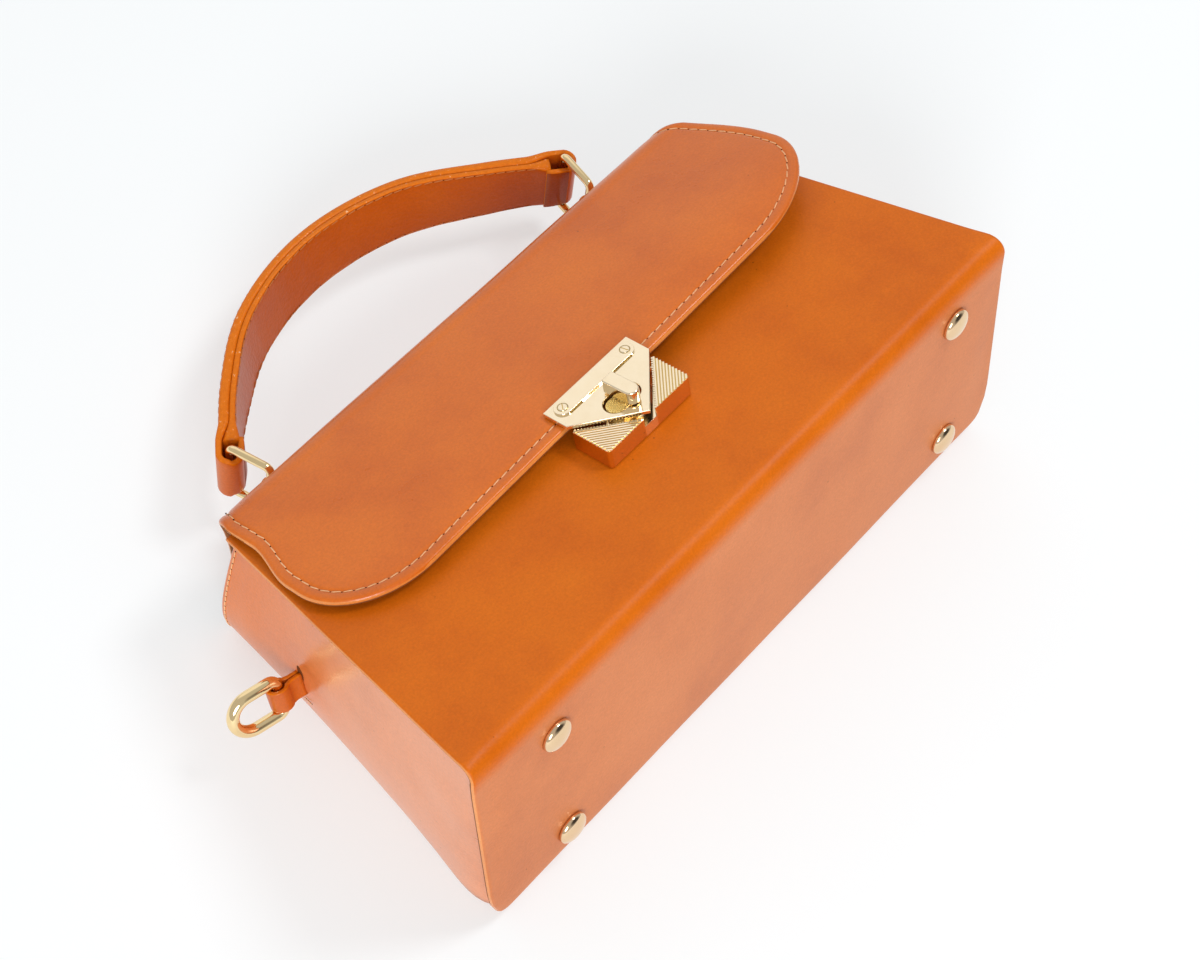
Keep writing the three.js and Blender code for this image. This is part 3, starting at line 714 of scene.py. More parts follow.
def leather(name, main, rough=0.34, specular=0.4, grain=0.08, glaze=0, pale=None, wrinkle=0):
    """Smooth leather: mottling, fine grain and a few dark specks, under a clear glaze, with an optional paler
    colour over part of the piece as painted sheen.
    """
    material, tree, shader, place = nodes_of(name)
    cloud = noise_of(tree, place, MOTTLE_SCALE, 5, 0.62)
    colour = mottled(tree, cloud, main)
    if pale:
        sheen_colour, *where = pale
        colour = mixed(tree, painted_sheen_share(tree, place, *where), colour, mottled(tree, cloud, sheen_colour))
    fine = noise_of(tree, place, GRAIN_SCALE, 3, 0.7)
    colour = mixed(tree, 1, colour, ramp(tree, fine, [(0.3, grey(0.84)), (0.7, grey(1))]), "MULTIPLY")
    dot = ramp(tree, cells_of(tree, place, SPECK_SCALE), [(0.05, grey(1)), (0.1, grey(0))])
    groups = noise_of(tree, place, SPECK_GROUPS, 1, 0.5)
    chance = ramp(tree, groups, [(0.62, grey(0)), (0.68, grey(0.6))])
    speck = maths(tree, "MULTIPLY", dot, chance)
    colour = mixed(tree, speck, colour, tone(main, (0.2, 0.2, 0.3)))
    gloss = ramp(tree, cloud, [(0.3, grey(rough - 0.04)), (0.7, grey(rough + 0.05))])
    hide = cells_of(tree, place, PEBBLE_SCALE)
    height = maths(tree, "ADD", fine, hide)
    folds = noise_of(tree, stretched(tree, place, (1, 1, 0.12)), WRINKLE_SCALE, 3, 0.6)
    height = maths(tree, "MULTIPLY_ADD", folds, wrinkle, height)
    bumped(tree, shader, height, grain, BUMP_DEPTH)
    look = [("Base Color", colour), ("Roughness", gloss), ("Specular IOR Level", specular)]
    fill(tree, shader, look + [("Coat Weight", glaze), ("Coat Roughness", 0.2)])
    return material


def cut_edge(name, main, worn_and_glint):
    """A dyed cut edge with light flecks, partly wear and partly painted highlight glints."""
    material, tree, shader, place = nodes_of(name)
    flecks = noise_of(tree, place, FLECK_SCALE, 4, 0.7)
    colour = ramp(tree, flecks, [(0.3, tone(main, (0.85, 0.8, 0.8))), (0.64, (*main, 1)), (0.72, (*worn_and_glint, 1))])
    bumped(tree, shader, flecks, 0.25, BUMP_DEPTH)
    fill(tree, shader, [("Base Color", colour), ("Roughness", 0.25), ("Specular IOR Level", 0.15)])
    return material


def cells_of(tree, place, scale):
    inputs = [("Vector", place), ("Scale", scale), ("Randomness", 1)]
    return linked(tree, "ShaderNodeTexVoronoi", inputs=inputs).outputs["Distance"]


def noise_of(tree, place, scale, detail, roughness):
    inputs = [("Vector", place), ("Scale", scale), ("Detail", detail), ("Roughness", roughness)]
    return linked(tree, "ShaderNodeTexNoise", inputs=inputs).outputs["Fac"]


def bumped(tree, shader, height, strength, distance):
    inputs = [("Strength", strength), ("Distance", distance), ("Height", height)]
    bump = linked(tree, "ShaderNodeBump", inputs=inputs)
    tree.links.new(bump.outputs["Normal"], shader.inputs["Normal"])


def metal(name, main, rough, metallic=1):
    """Polished plated metal with faint wiping marks."""
    material, tree, shader, place = nodes_of(name)
    cloud = noise_of(tree, place, WIPE_SCALE, 4, 0.6)
    colour = ramp(tree, cloud, [(0.3, tone(main, (0.97, 0.95, 0.92))), (0.6, (*main, 1))])
    gloss = ramp(tree, cloud, [(0.3, grey(rough * 1.4)), (0.7, grey(rough))])
    wipes = noise_of(tree, stretched(tree, place, WIPE_STRETCH), 3, 3, 0.5)
    bumped(tree, shader, wipes, 0.012, WIPE_DEPTH)
    fill(tree, shader, [("Base Color", colour), ("Roughness", gloss), ("Metallic", metallic)])
    return material


FOLD_HEADING = (BASE_UP - BASE_OUT).normalized()
FOLD_FOOT = FOLD_HEADING.dot(FRONT_FOLD + BASE_OUT * FOLD_RADIUS - Vector((BACK_CENTRE, 0)))
# The base turns paler on its side of the front fold: painted sheen, the bright floor's reflection
BASE_PAINTED_SHEEN = ((0.69, 0.215, 0.068), FOLD_HEADING, FOLD_FOOT - 3, FOLD_FOOT + 0.5)
BODY_LOOK = leather("body_leather", (0.7, 0.15, 0.004), 0.4, 0.18, pale=BASE_PAINTED_SHEEN)
FLAP_LOOK = leather("flap_leather", (0.71, 0.154, 0.007), 0.3, 0.28, glaze=0.3)
# The gussets turn paler towards the base: painted sheen
SIDE_PAINTED_SHEEN = ((0.78, 0.275, 0.115), (1, 0), 0, 45)
SIDE_LOOK = leather("gusset_leather", (0.74, 0.165, 0.008), 0.3, 0.4, 0.1, 0.25, SIDE_PAINTED_SHEEN, 2)
# Paler leather for rims and the bands beside them: painted highlight along the edges
RIM_HIGHLIGHT_LOOK = leather("painted_rim_highlight", (0.8, 0.28, 0.06), 0.24, 0.5)
STRAP_LOOK = leather("strap_leather", (0.68, 0.14, 0.006), 0.3, 0.2)
STRAP_INSIDE = leather("strap_lining", (0.52, 0.097, 0.004), 0.3, 0.26, 0.16, wrinkle=2.5)
# Darker leather for the strap's turned-back ends: painted shade
STRAP_ENDS_SHADE = leather("strap_ends_painted_shade", (0.42, 0.078, 0.003), 0.32, 0.2, 0.14)
STRAP_EDGE = cut_edge("strap_edge", (0.74, 0.18, 0.006), (0.92, 0.62, 0.36))
TAB_LOOK = leather("tab_leather", (0.62, 0.13, 0.008), 0.32, 0.42)
LINING = leather("suede_lining", (0.3, 0.11, 0.04), 0.85, 0.1, 0.3)
THREAD = leather("sewing_thread", (0.92, 0.52, 0.27), 0.6, 0.2, 0.3)
STRAP_THREAD = leather("strap_thread", (0.55, 0.2, 0.06), 0.6, 0.2, 0.3)
# Near-black flat balls at the needle holes: painted shade
HOLE_SHADE = leather("needle_hole_shade", (0.035, 0.014, 0.006), 0.7, 0.1, 0.1)
SLIT = leather("slit_shadow", (0.16, 0.045, 0.012), 0.7, 0.1, 0.1)
GOLD = metal("pale_gold", (0.97, 0.82, 0.59), 0.1)
RING_GOLD = metal("ring_gold", (0.93, 0.72, 0.4), 0.05)
# Darker gold in grooves, screw slots and the rings round the screws: painted shade
GROOVE_SHADE_GOLD = metal("groove_gold_painted_shade", (0.66, 0.45, 0.16), 0.3)
SHADOW_GOLD = metal("lock_shadow_lines", (0.16, 0.11, 0.04), 0.35)
SEAT_GOLD = metal("seat_gold", (1, 0.76, 0.28), 0.26, 0.5)
# Deeper gold on the box's wings: painted shade, as their walls mirror shaded leather
BOX_WALL_SHADE_GOLD = metal("box_gold_painted_shade", (0.82, 0.54, 0.18), 0.1)
FOOT_METAL = metal("foot_metal", (0.84, 0.61, 0.38), 0.1)


# Body: back, base and front in one bent wall
def body_runs():
    """Distances along the section where the mesh has a line."""
    runs = [*EDGE_STEPS]
    stops = (runs[-1], BACK_FOLD_START, BASE_START, FRONT_FOLD_START, FRONT_START, RUN_TOTAL - runs[-1])
    for start, end, count in zip(stops, stops[1:], (16, 8, 12, 10, 16)):
        runs += [lerp(start, end, i / count) for i in range(1, count + 1)]
    return runs + [RUN_TOTAL - d for d in reversed(EDGE_STEPS[:-1])]


def corner_drop(edge, run):
    """How far the back fold's ends fall to round corners, less how far the front fold's ends stand up."""
    away = clamp(1 - edge / CORNER_REACH)
    fall = CORNER_DROP * fold_share(run, BACK_FOLD_START, BASE_START, BACK_CORNER_SPREAD)
    fall *= 1 - sqrt(1 - away**2)
    near = clamp(1 - edge / PEAK_REACH)
    return fall - CORNER_PEAK * fold_share(run, FRONT_FOLD_START, FRONT_START, PEAK_SPREAD) * near**2


def body_grid(face):
    grid = []
    for run in body_runs():
        point, out, half = section(min(run, RUN_TOTAL - 1e-6))
        half -= BACK_COVER * back_cover(run)
        on_base = clamp((run - BASE_START) / RUN_BASE)
        row = []
        for x in spread(half, half, 40):
            edge = min(half - abs(x), run, RUN_TOTAL - run)
            drop = rim_drop(edge, LEATHER / 2 - RIM_FLAT)
            calm = smoothstep(edge, *BODY_CALM)
            uneven = BODY_WAVE * waves(x, run, BODY_WAVE_SIZE, 1.5)
            swell = calm * (uneven + BASE_SWELL * sin(pi * on_base))
            swell -= corner_drop(edge, run)
            inset = drop - swell if face == 0 else LEATHER - drop - swell
            row.append(Vector((x, *(point - out * inset))))
        grid.append(row)
    return grid


BODY_LOOKS = [BODY_LOOK, LINING, RIM_HIGHLIGHT_LOOK]
attach(wall("body_leather", body_grid(0), body_grid(1), BODY_LOOKS), "tan_leather", "body")


# Gussets
def gusset_bulge(y, z, across):
    height = clamp(y / BACK_LENGTH)
    belly = HEM_BULGE * smoothstep(y, 0, BACK_CENTRE) * lerp(BELLY_LOW, 1, height**1.5)

    def near(dy, dz, reach):
        return exp(-(dy * dy + dz * dz) / reach**2)

    pinch = PINCH_BULGE * near(y - SIDE_TAB_Y, z - SIDE_TAB_Z, PINCH_REACH)
    dent = DENT_DEPTH * near(y - SIDE_TAB_Y, z - SIDE_TAB_Z - DENT_ABOVE_TAB, PINCH_REACH)
    return (belly + pinch - dent) * sin(pi * across**BELLY_SKEW)


def gusset_point(sign, t, across, depth):
    """t runs from the hem to the base, across from the back panel to the front."""
    back_run = lerp(HEM_DROP, BASE_START, t)
    front_run = lerp(RUN_TOTAL - HEM_DROP, FRONT_FOLD_START, t)
    back, back_out, back_wide = section(back_run)
    front, front_out, front_wide = section(front_run)
    cover = back_cover(back_run)
    low = back - back_out * (lerp(LEATHER - SEAM_LAP, GAP, cover) + corner_drop(SEAM_INSET, back_run))
    high = front - front_out * (LEATHER - SEAM_LAP + corner_drop(SEAM_INSET, front_run))
    y = lerp(low.x, high.x, across)
    z = lerp(low.y, high.y, across)
    edge = lerp(back_wide - SEAM_INSET * (1 - cover), front_wide - SEAM_INSET, across)
    calm = sin(pi * across) * smoothstep(t, 0, 0.08)
    uneven = GUSSET_WAVE * waves(y, z, GUSSET_WAVE_SIZE, 4.2 + sign)
    uneven += CREASE * waves(y, z / CREASE_STRETCH, CREASE_SIZE, 2.6 + sign)
    beside = (y - SIDE_TAB_Y - PULL_Y) / PULL_REACH_Y
    above = (z - SIDE_TAB_Z - PULL_Z) / PULL_REACH_Z
    pull = SLIT_PULL * exp(-(beside**2) - above**2)
    half = edge + gusset_bulge(y, z, across) + calm * uneven - pull
    return Vector((sign * (half - depth), y, z))


def gusset(sign, side):
    span = BACK_FOLD_START - HEM_DROP
    columns, seam_steps = 44, 88
    steps = [d / span for d in EDGE_STEPS] + [lerp(EDGE_STEPS[-1] / span, 1, i / 40) for i in range(1, 41)]
    grids = []
    for face in (0, 1):
        grid = []
        for t in steps:
            drop = rim_drop(t * span, GUSSET_LEATHER / 2 - RIM_FLAT)
            depth = drop if face == 0 else GUSSET_LEATHER - drop
            grid.append([gusset_point(sign, t, c / columns, depth) for c in range(columns + 1)])
        grids.append(grid)
    piece = wall(f"gusset_{side}_leather", *grids, [SIDE_LOOK, LINING])
    attach(piece, "tan_leather", f"gusset_{side}")
    seam = []
    t = HEM_STITCH / span
    for c in range(2, seam_steps - 1):
        here = gusset_point(sign, t, c / seam_steps, 0)
        along = gusset_point(sign, t, (c + 1) / seam_steps, 0) - here
        down = gusset_point(sign, t + 0.01, c / seam_steps, 0) - here
        normal = along.cross(down).normalized()
        seam.append((here, normal if normal.x * sign > 0 else -normal))
    stitches(f"gusset_{side}_hem_stitches", seam, HEM_PITCH)


gusset(-1, "left")
gusset(1, "right")


# Flap
LID_BACK_FOLD = Vector((LID_BACK, LEATHER + GAP + LID_RADIUS))
LID_FRONT_FOLD = on_front(0, LID_FRONT_UP, FLAP_FOLD_RISE - LID_RADIUS).yz
LID_LEAN = atan2(LID_BACK_FOLD.x - LID_FRONT_FOLD.x, LID_FRONT_FOLD.y - LID_BACK_FOLD.y)
FLANGE_RUN = LID_BACK - FLANGE_START
LID_RUN = (LID_FRONT_FOLD - LID_BACK_FOLD).length
LID_SECOND_TURN = LID_RADIUS * (pi / 2 - FRONT_SLOPE - LID_LEAN)
LID_START = FLANGE_RUN + LID_RADIUS * (pi / 2 + LID_LEAN)
LID_TURN_TWO = LID_START + LID_RUN
FLAP_START = LID_TURN_TWO + LID_SECOND_TURN
FLAP_RUN = FLAP_START + LID_FRONT_UP - FLAP_END_UP


def flap_rise(x, up):
    fall = 1 - smoothstep(up, FLAP_FLAT_UP, LID_FRONT_UP)
    beyond = max(abs(x) - FLAP_FLAT_HALF, 0) / (FLAP_LEFT["half"] - FLAP_FLAT_HALF)
    twist = -FLAP_LEFT_SAG * beyond if x < 0 else FLAP_RIGHT_LIFT * beyond
    return lerp(FLAP_FOLD_RISE, FLAP_LOCK_RISE + twist, fall)


def end_half(up, end):
    """Half width of the flap's front part towards one end."""
    wide = lerp(end["half"], end["neck_half"], smoothstep(up, end["wide_up"], end["neck_up"]))
    fall = clamp((FLAP_END_UP + end["corner_high"] - up) / end["corner_high"])
    return wide - end["corner_wide"] * (1 - sqrt(1 - fall**2))


def flap_half(run, end):
    if run < LID_START:
        return lerp(FLANGE_HALF, LID_BACK_HALF, smoothstep(run, FLANGE_RUN, LID_START))
    if run < LID_TURN_TWO:
        return lerp(LID_BACK_HALF, LID_FRONT_HALF, (run - LID_START) / LID_RUN)
    if run < FLAP_START:
        return lerp(LID_FRONT_HALF, end_half(LID_FRONT_UP, end), (run - LID_TURN_TWO) / LID_SECOND_TURN)
    return end_half(LID_FRONT_UP - (run - FLAP_START), end)


def flap_edge(x, run):
    """Distance to the flap's nearest free edge."""
    end = FLAP_LEFT if x < 0 else FLAP_RIGHT
    up = LID_FRONT_UP - (run - FLAP_START)
    wide, high = end["corner_wide"], end["corner_high"]
    beside, below = abs(x) - end["half"] + wide, FLAP_END_UP + high - up
    if run > FLAP_START and below > 0 and beside > 0:
        share = hypot(beside / wide, below / high)
        return (1 - share) * share / hypot(beside / wide**2, below / high**2)
    return min(flap_half(run, end) - abs(x), FLAP_RUN - run)


def flap_place(x, run, depth):
    if run < FLANGE_RUN:
        return Vector((x, FLANGE_START + run, LEATHER + GAP + depth))
    if run < LID_START or LID_TURN_TWO <= run < FLAP_START:
        first = run < LID_START
        centre = LID_BACK_FOLD if first else LID_FRONT_FOLD
        begin = -pi / 2 if first else LID_LEAN
        angle = begin + (run - (FLANGE_RUN if first else LID_TURN_TWO)) / LID_RADIUS
        reach = LID_RADIUS - depth
        return Vector((x, centre.x + reach * cos(angle), centre.y + reach * sin(angle)))
    if run < LID_TURN_TWO:
        out = Vector((cos(LID_LEAN), sin(LID_LEAN)))
        along = Vector((-out.y, out.x))
        place = LID_BACK_FOLD + out * (LID_RADIUS - depth) + along * (run - LID_START)
        middle = sin(pi * (run - LID_START) / LID_RUN)
        tuck = LID_TUCK * smoothstep(-x, TUCK_START, LID_BACK_HALF) * sqrt(middle)
        return Vector((x, place.x - tuck, place.y))
    up = LID_FRONT_UP - (run - FLAP_START)
    return on_front(x, up, flap_rise(x, up) - depth)


def flap_surface(x, run):
    """Fall of the outer face: bead, pressed seam line, padded slope, soft fold and slow unevenness."""
    edge = flap_edge(x, run)
    valley = SEAM_PRESS * exp(-(((edge - FLAP_STITCH) / SEAM_WIDTH) ** 2))
    slope = PAD_SLOPE * exp(-max(edge - FLAP_STITCH, 0) / PAD_REACH)
    slope *= smoothstep(edge, PAD_START, FLAP_STITCH)
    swell = FLAP_WAVE * smoothstep(edge, *FLAP_CALM) * waves(x, run, FLAP_WAVE_SIZE, 7.7)
    crown = FLAP_CROWN * clamp(1 - abs(run - FLAP_START) / CROWN_REACH) ** 2
    return rim_drop(edge, FLAP_LEATHER / 2 - FLAP_RIM_FLAT) + valley + slope + crown - swell


def flap_grid(face):
    runs = [*EDGE_STEPS, 16]
    for start, end, count in (
        (FLANGE_RUN, LID_START, 10),
        (LID_START, LID_TURN_TWO, 12),
        (LID_TURN_TWO, FLAP_START, 12),
        (FLAP_START, FLAP_RUN - EDGE_STEPS[-1], 80),
    ):
        runs += [lerp(start, end, i / count) for i in range(count)]
    runs += [FLAP_RUN - d for d in reversed(EDGE_STEPS)]
    grid = []
    for run in runs:
        row = []
        for x in spread(flap_half(run, FLAP_LEFT), flap_half(run, FLAP_RIGHT), 76):
            if face == 0:
                row.append(flap_place(x, run, flap_surface(x, run)))
            else:
                drop = rim_drop(flap_edge(x, run), FLAP_LEATHER / 2 - FLAP_RIM_FLAT)
                row.append(flap_place(x, run, FLAP_LEATHER - drop))
        grid.append(row)
    return grid


FLAP_LOOKS = [FLAP_LOOK, LINING, RIM_HIGHLIGHT_LOOK]
attach(wall("flap_leather", flap_grid(0), flap_grid(1), FLAP_LOOKS), "tan_leather", "flap")


def flap_seam_half(end):
    """Half of the sewn line inside the edge, from the lid's back to the middle of the free edge."""
    wide, high = end["corner_wide"], end["corner_high"]
    corner_x, side_end = end["half"] - wide, FLAP_RUN - high
    side = [lerp(FLANGE_RUN, side_end, i / 90) for i in range(90)]
    line = [(flap_half(run, end) - FLAP_STITCH, run) for run in side]
    for degrees in range(0, 91, 3):
        cosine, sine = cos(radians(degrees)), sin(radians(degrees))
        inwards = Vector((-cosine / wide, -sine / high)).normalized()
        place = Vector((wide * cosine, high * sine)) + inwards * FLAP_STITCH
        line.append((corner_x + place.x, side_end + place.y))
    return line + [(lerp(corner_x, 0, i / 40), FLAP_RUN - FLAP_STITCH) for i in range(1, 41)]


def flap_seam():
    left = [(-x, run) for x, run in flap_seam_half(FLAP_LEFT)]
    seam = []
    for x, run in left + list(reversed(flap_seam_half(FLAP_RIGHT)[:-1])):
        here = flap_place(x, run, flap_surface(x, run))
        beside = flap_place(x + 0.5, run, 0) - flap_place(x - 0.5, run, 0)
        below = flap_place(x, run + 0.5, 0) - flap_place(x, run - 0.5, 0)
        seam.append((here, below.cross(beside).normalized()))
    return seam


stitches("flap_stitches", flap_seam())


# Lock
STRIP_RADIUS = 2.9
STRIP_RISE = 0.7
SUNK = 0.3
LINE_WIDTH = 0.45
LINE_STOPS = (-8.5, 4.5)
SCREW_SLOT_HALF = 1.3
SCREW_SLOT_WIDTH = 0.32
RIB_PITCH = 0.92
RIB_SECTION = ((-0.32, -0.05), (-0.26, 0.3), (0.26, 0.3), (0.32, -0.05))
FLUTE_PITCH = 0.95
FLUTE_RADIUS = 0.38
FLUTE_SIDES = 10
BOX_CORNER = 1.2
KNURL_PITCH = 0.75
KNURL_RISE = 0.4
KNURL_TURN = radians(30)


def slab(name, loops, low, high, bevel, look=GOLD, nodes=()):
    """A metal plate on the front panel, between two heights above it."""
    attach(plate(name, loops, low, high, bevel, look, FRONT_FRAME), "pale_gold", *nodes)


def plate_strip(top):
    """The raised strip along the plate's top edge, the dark line below it and the two screws."""
    loop = capsule(BAR_HALF + STRIP_RADIUS, STRIP_RADIUS, BAR_UP)
    slab("lock_plate_strip", [loop], top - SUNK, top + STRIP_RISE, bevel=0.15)
    low = BAR_UP - STRIP_RADIUS
    for side, start, end in (("left", -BAR_HALF, LINE_STOPS[0]), ("right", LINE_STOPS[1], BAR_HALF)):
        line = rectangle(start, low - LINE_WIDTH, end, low)
        slab(f"lock_strip_line_{side}", [line], top - SUNK, top + 0.05, 0.02, SHADOW_GOLD)
    for side, x, slot_turn in (("left", -BAR_HALF, 50), ("right", BAR_HALF, 100)):
        head = FRONT_FRAME @ Matrix.Translation((x, BAR_UP, top + STRIP_RISE))
        wide, narrow = SCREW_RADIUS + 0.05, SCREW_RADIUS - 0.2
        # The darker gold ring round the head and the darker gold slot are painted shade of the groove and the
        # slot
        rim = [(wide, -SUNK), (wide, 0.03), (0.2, 0.03)]
        attach(lathe(f"plate_screw_{side}_rim", rim, GROOVE_SHADE_GOLD, head), "pale_gold")
        dome = [(narrow, -SUNK), (narrow, 0.1), (SCREW_RADIUS - 0.4, 0.2), (0.2, 0.24)]
        attach(lathe(f"plate_screw_{side}_metal", dome, GOLD, head), "pale_gold", f"plate_screw_{side}")
        slot = rectangle(-SCREW_SLOT_HALF, -SCREW_SLOT_WIDTH / 2, SCREW_SLOT_HALF, SCREW_SLOT_WIDTH / 2)
        place = head @ Matrix.Rotation(radians(slot_turn), 4, "Z")
        attach(plate(f"plate_screw_{side}_slot", [slot], 0, 0.27, 0.02, GROOVE_SHADE_GOLD, place), "pale_gold")


def lock_pieces():
    outline = [
        (-PLATE_HALF, PLATE_TOP),
        (-PLATE_HALF, PLATE_SHOULDER),
        (0, PLATE_TIP),
        (PLATE_HALF, PLATE_SHOULDER),
        (PLATE_HALF, PLATE_TOP),
    ]
    top = PLATE_RISE + PLATE_THICKNESS
    slab("lock_plate_metal", [outline, slot_loop(0)], PLATE_RISE, top, 0.22, nodes=["lock_plate"])
    plate_strip(top)


def wing_ribs(sign, side):
    """Fine ribs on a wing's top, parallel to the notch, and flutes on the notch's wall."""
    low = Vector((NOTCH_MOUTH_HALF, BOX_LOW))
    along = (Vector((NOTCH_TOP_HALF, BOX_HIGH)) - low).normalized()
    aside = Vector((along.y, -along.x))
    points, faces = [], []

    def put(flat, height):
        points.append(on_front(sign * flat.x, flat.y, height))

    edge = 0.06
    count = int(aside.x * (BOX_HALF - NOTCH_MOUTH_HALF) / RIB_PITCH)
    for k in range(count):
        start = Vector((low.x + (k + 0.5) * RIB_PITCH / aside.x, BOX_LOW)) + along * edge
        length = min((BOX_HALF - edge - start.x) / along.x, (BOX_HIGH - edge - start.y) / along.y)
        first = len(points)
        for share in (0, 1):
            for offset, rise in RIB_SECTION:
                put(start + along * length * share + aside * offset, BOX_RISE + rise)
        tube_faces(faces, first, 2, len(RIB_SECTION))
    wall_length = (BOX_HIGH - BOX_LOW) / along.y
    for k in range(int(wall_length / FLUTE_PITCH)):
        centre = low + along * ((k + 0.5) * FLUTE_PITCH)
        first = len(points)
        for height in (NOTCH_FLOOR, BOX_RISE + 0.3):
            for pair in circle(FLUTE_SIDES):
                put(centre + FLUTE_RADIUS * Vector(pair), height)
        tube_faces(faces, first, 2, FLUTE_SIDES)
    ribs = make_mesh(f"lock_box_ribs_{side}", points, faces, [GOLD])
    ribs.data.set_sharp_from_angle(angle=SHARP_ANGLE)
    attach(ribs, "pale_gold")


def slot_loop(inset):
    """Outline of the plate's slot, or of a smaller loop inside it."""
    radius = SLOT_RADIUS - inset
    loop = arc(SLOT_RIGHT - SLOT_RADIUS, SLOT_UP, radius, -90, 90, 16)
    return loop + arc(SLOT_RADIUS - SLOT_LEFT, SLOT_UP, radius, 90, 270, 16)


def seat_pieces():
    """The piece under the knob, as seen in the slot, with rows of small points."""
    slab("lock_seat", [slot_loop(SEAT_EDGE)], 1, SEAT_RISE, 0.15, SEAT_GOLD)
    points, faces = [], []
    reach = KNURL_PITCH * 0.48
    corners = ((reach, 0), (0, reach), (-reach, 0), (0, -reach))
    spin = Matrix.Rotation(KNURL_TURN, 2)
    count = int(SLOT_LEFT / KNURL_PITCH)
    for i in range(-count, count + 1):
        for j in range(-count, count + 1):
            flat = spin @ Vector((i, j)) * KNURL_PITCH
            beside = max(flat.x - SLOT_RIGHT + SLOT_RADIUS, SLOT_RADIUS - SLOT_LEFT - flat.x, 0)
            if flat.length < KNOB_POST or hypot(beside, flat.y) > SLOT_RADIUS - SEAT_EDGE - reach:
                continue
            start = len(points)
            points += [on_front(flat.x + x, SLOT_UP + flat.y + y, SEAT_RISE - 0.02) for x, y in corners]
            points.append(on_front(flat.x, SLOT_UP + flat.y, SEAT_RISE + KNURL_RISE))
            faces += [(start + k, start + (k + 1) % 4, start + 4) for k in range(4)]
            faces.append((start, start + 1, start + 2, start + 3))
    attach(make_mesh("lock_seat_knurls", points, faces, [SEAT_GOLD]), "pale_gold")


def box_pieces():
    notch = [
        (-NOTCH_MOUTH_HALF, BOX_LOW),
        (NOTCH_MOUTH_HALF, BOX_LOW),
        (NOTCH_TOP_HALF, BOX_HIGH),
        (-NOTCH_TOP_HALF, BOX_HIGH),
    ]
    slab("lock_box_floor", [notch], GAP, NOTCH_FLOOR, 0.05, nodes=["lock_box"])
    for sign, side in ((-1, "left"), (1, "right")):
        corner = arc(BOX_HALF - BOX_CORNER, BOX_LOW + BOX_CORNER, BOX_CORNER, -90, 0, 8)
        wing = corner + [(BOX_HALF, BOX_HIGH), (NOTCH_TOP_HALF, BOX_HIGH), (NOTCH_MOUTH_HALF, BOX_LOW)]
        outline = [(sign * x, up) for x, up in wing]
        slab(f"lock_box_wing_{side}", [outline], GAP, BOX_RISE, 0.12, BOX_WALL_SHADE_GOLD)
        # Darker gold under the ribs: painted shade between them
        slab(f"lock_box_grooves_{side}", [outline], BOX_RISE - 0.2, BOX_RISE + 0.03, 0.1, GROOVE_SHADE_GOLD)
        wing_ribs(sign, side)
    seat_pieces()


def knob_pieces():
    half, wide = KNOB_LENGTH / 2, KNOB_WIDTH / 2
    low, narrow = half - KNOB_CHAMFER, wide - KNOB_CHAMFER
    outline = [(-wide, low), (-narrow, half), (narrow, half), (wide, low)]
    outline += arc(0, wide - half, wide, 0, -180, 24)
    turned = FRONT_FRAME @ Matrix.Translation((0, SLOT_UP, 0)) @ Matrix.Rotation(KNOB_TURN, 4, "Z")
    knob = plate("turn_knob_metal", [outline], KNOB_LOW, KNOB_HIGH, 0.55, GOLD, turned)
    attach(knob, "pale_gold", "turn_knob", body="knob")
    foot = SEAT_RISE + GAP
    profile = [(0.2, foot), (KNOB_POST, foot), (KNOB_NECK, foot + 1), (KNOB_NECK, KNOB_LOW + 1)]
    attach(lathe("turn_knob_post", profile, GOLD, turned), "pale_gold", body="knob")


lock_pieces()
box_pieces()
knob_pieces()


# Handle rings and lid tabs
LID_RISE = HANDLE_HEIGHT - LID_BACK_FOLD.y
LID_FACE_Y = LID_BACK + LID_RADIUS / cos(LID_LEAN) - tan(LID_LEAN) * LID_RISE
UPWARDS = Vector((0, 0, 1))


def rounded_loop(reach, half, corner):
    return (
        arc(reach - corner, corner - half, corner, -90, 0, 6)
        + arc(reach - corner, half - corner, corner, 0, 90, 6)
        + arc(corner, half - corner, corner, 90, 180, 6)
        + arc(corner, corner - half, corner, 180, 270, 6)
    )


def handle_ring(side, x, splay):
    tab = Vector((x, LID_FACE_Y + TAB_STANDOFF, HANDLE_HEIGHT))
    out = Vector((-sin(splay), cos(splay), 0))
    stand = Matrix((out, UPWARDS, out.cross(UPWARDS))).transposed().to_4x4()
    loop = rounded_loop(RING_REACH, RING_HEIGHT / 2, RING_CORNER)
    ring = wire(f"handle_ring_{side}_metal", loop, RING_WIRE, RING_GOLD, Matrix.Translation(tab) @ stand)
    attach(ring, "pale_gold", f"handle_ring_{side}")
    radius = RING_WIRE + GAP + TAB_THICKNESS / 2
    foot = TAB_STANDOFF - GAP - TAB_THICKNESS / 2
    route = [Vector((-s, -foot, 0)) for s in reversed(TAB_FOOT_STEPS)]
    for angle in (radians(a) for a in range(235, -56, -15)):
        narrow = 1 if sin(angle) > 0 else TAB_NECK
        route.append(Vector((radius * cos(angle) * narrow, radius * sin(angle), 0)))
    route += [Vector((s, -foot, 0)) for s in TAB_FOOT_STEPS]

    def sizes(t):
        return TAB_LENGTH - TAB_WAIST * sin(pi * t), TAB_THICKNESS

    lean = Matrix.Translation(tab) @ Matrix.Rotation(LID_LEAN, 4, "X")
    stations = moved(flat_stations(route, UPWARDS, sizes), lean)
    strip(f"lid_tab_{side}_leather", stations, TAB_LOOK, f"lid_tab_{side}")
    return tab + out * RING_REACH


EYES = [handle_ring(*place) for place in RING_PLACES]


# Handle: an outer layer that turns round both rings and an inner layer between them
def between(a, b, start, end, t):
    return a * ((end - t) / (end - start)) + b * ((t - start) / (end - start))


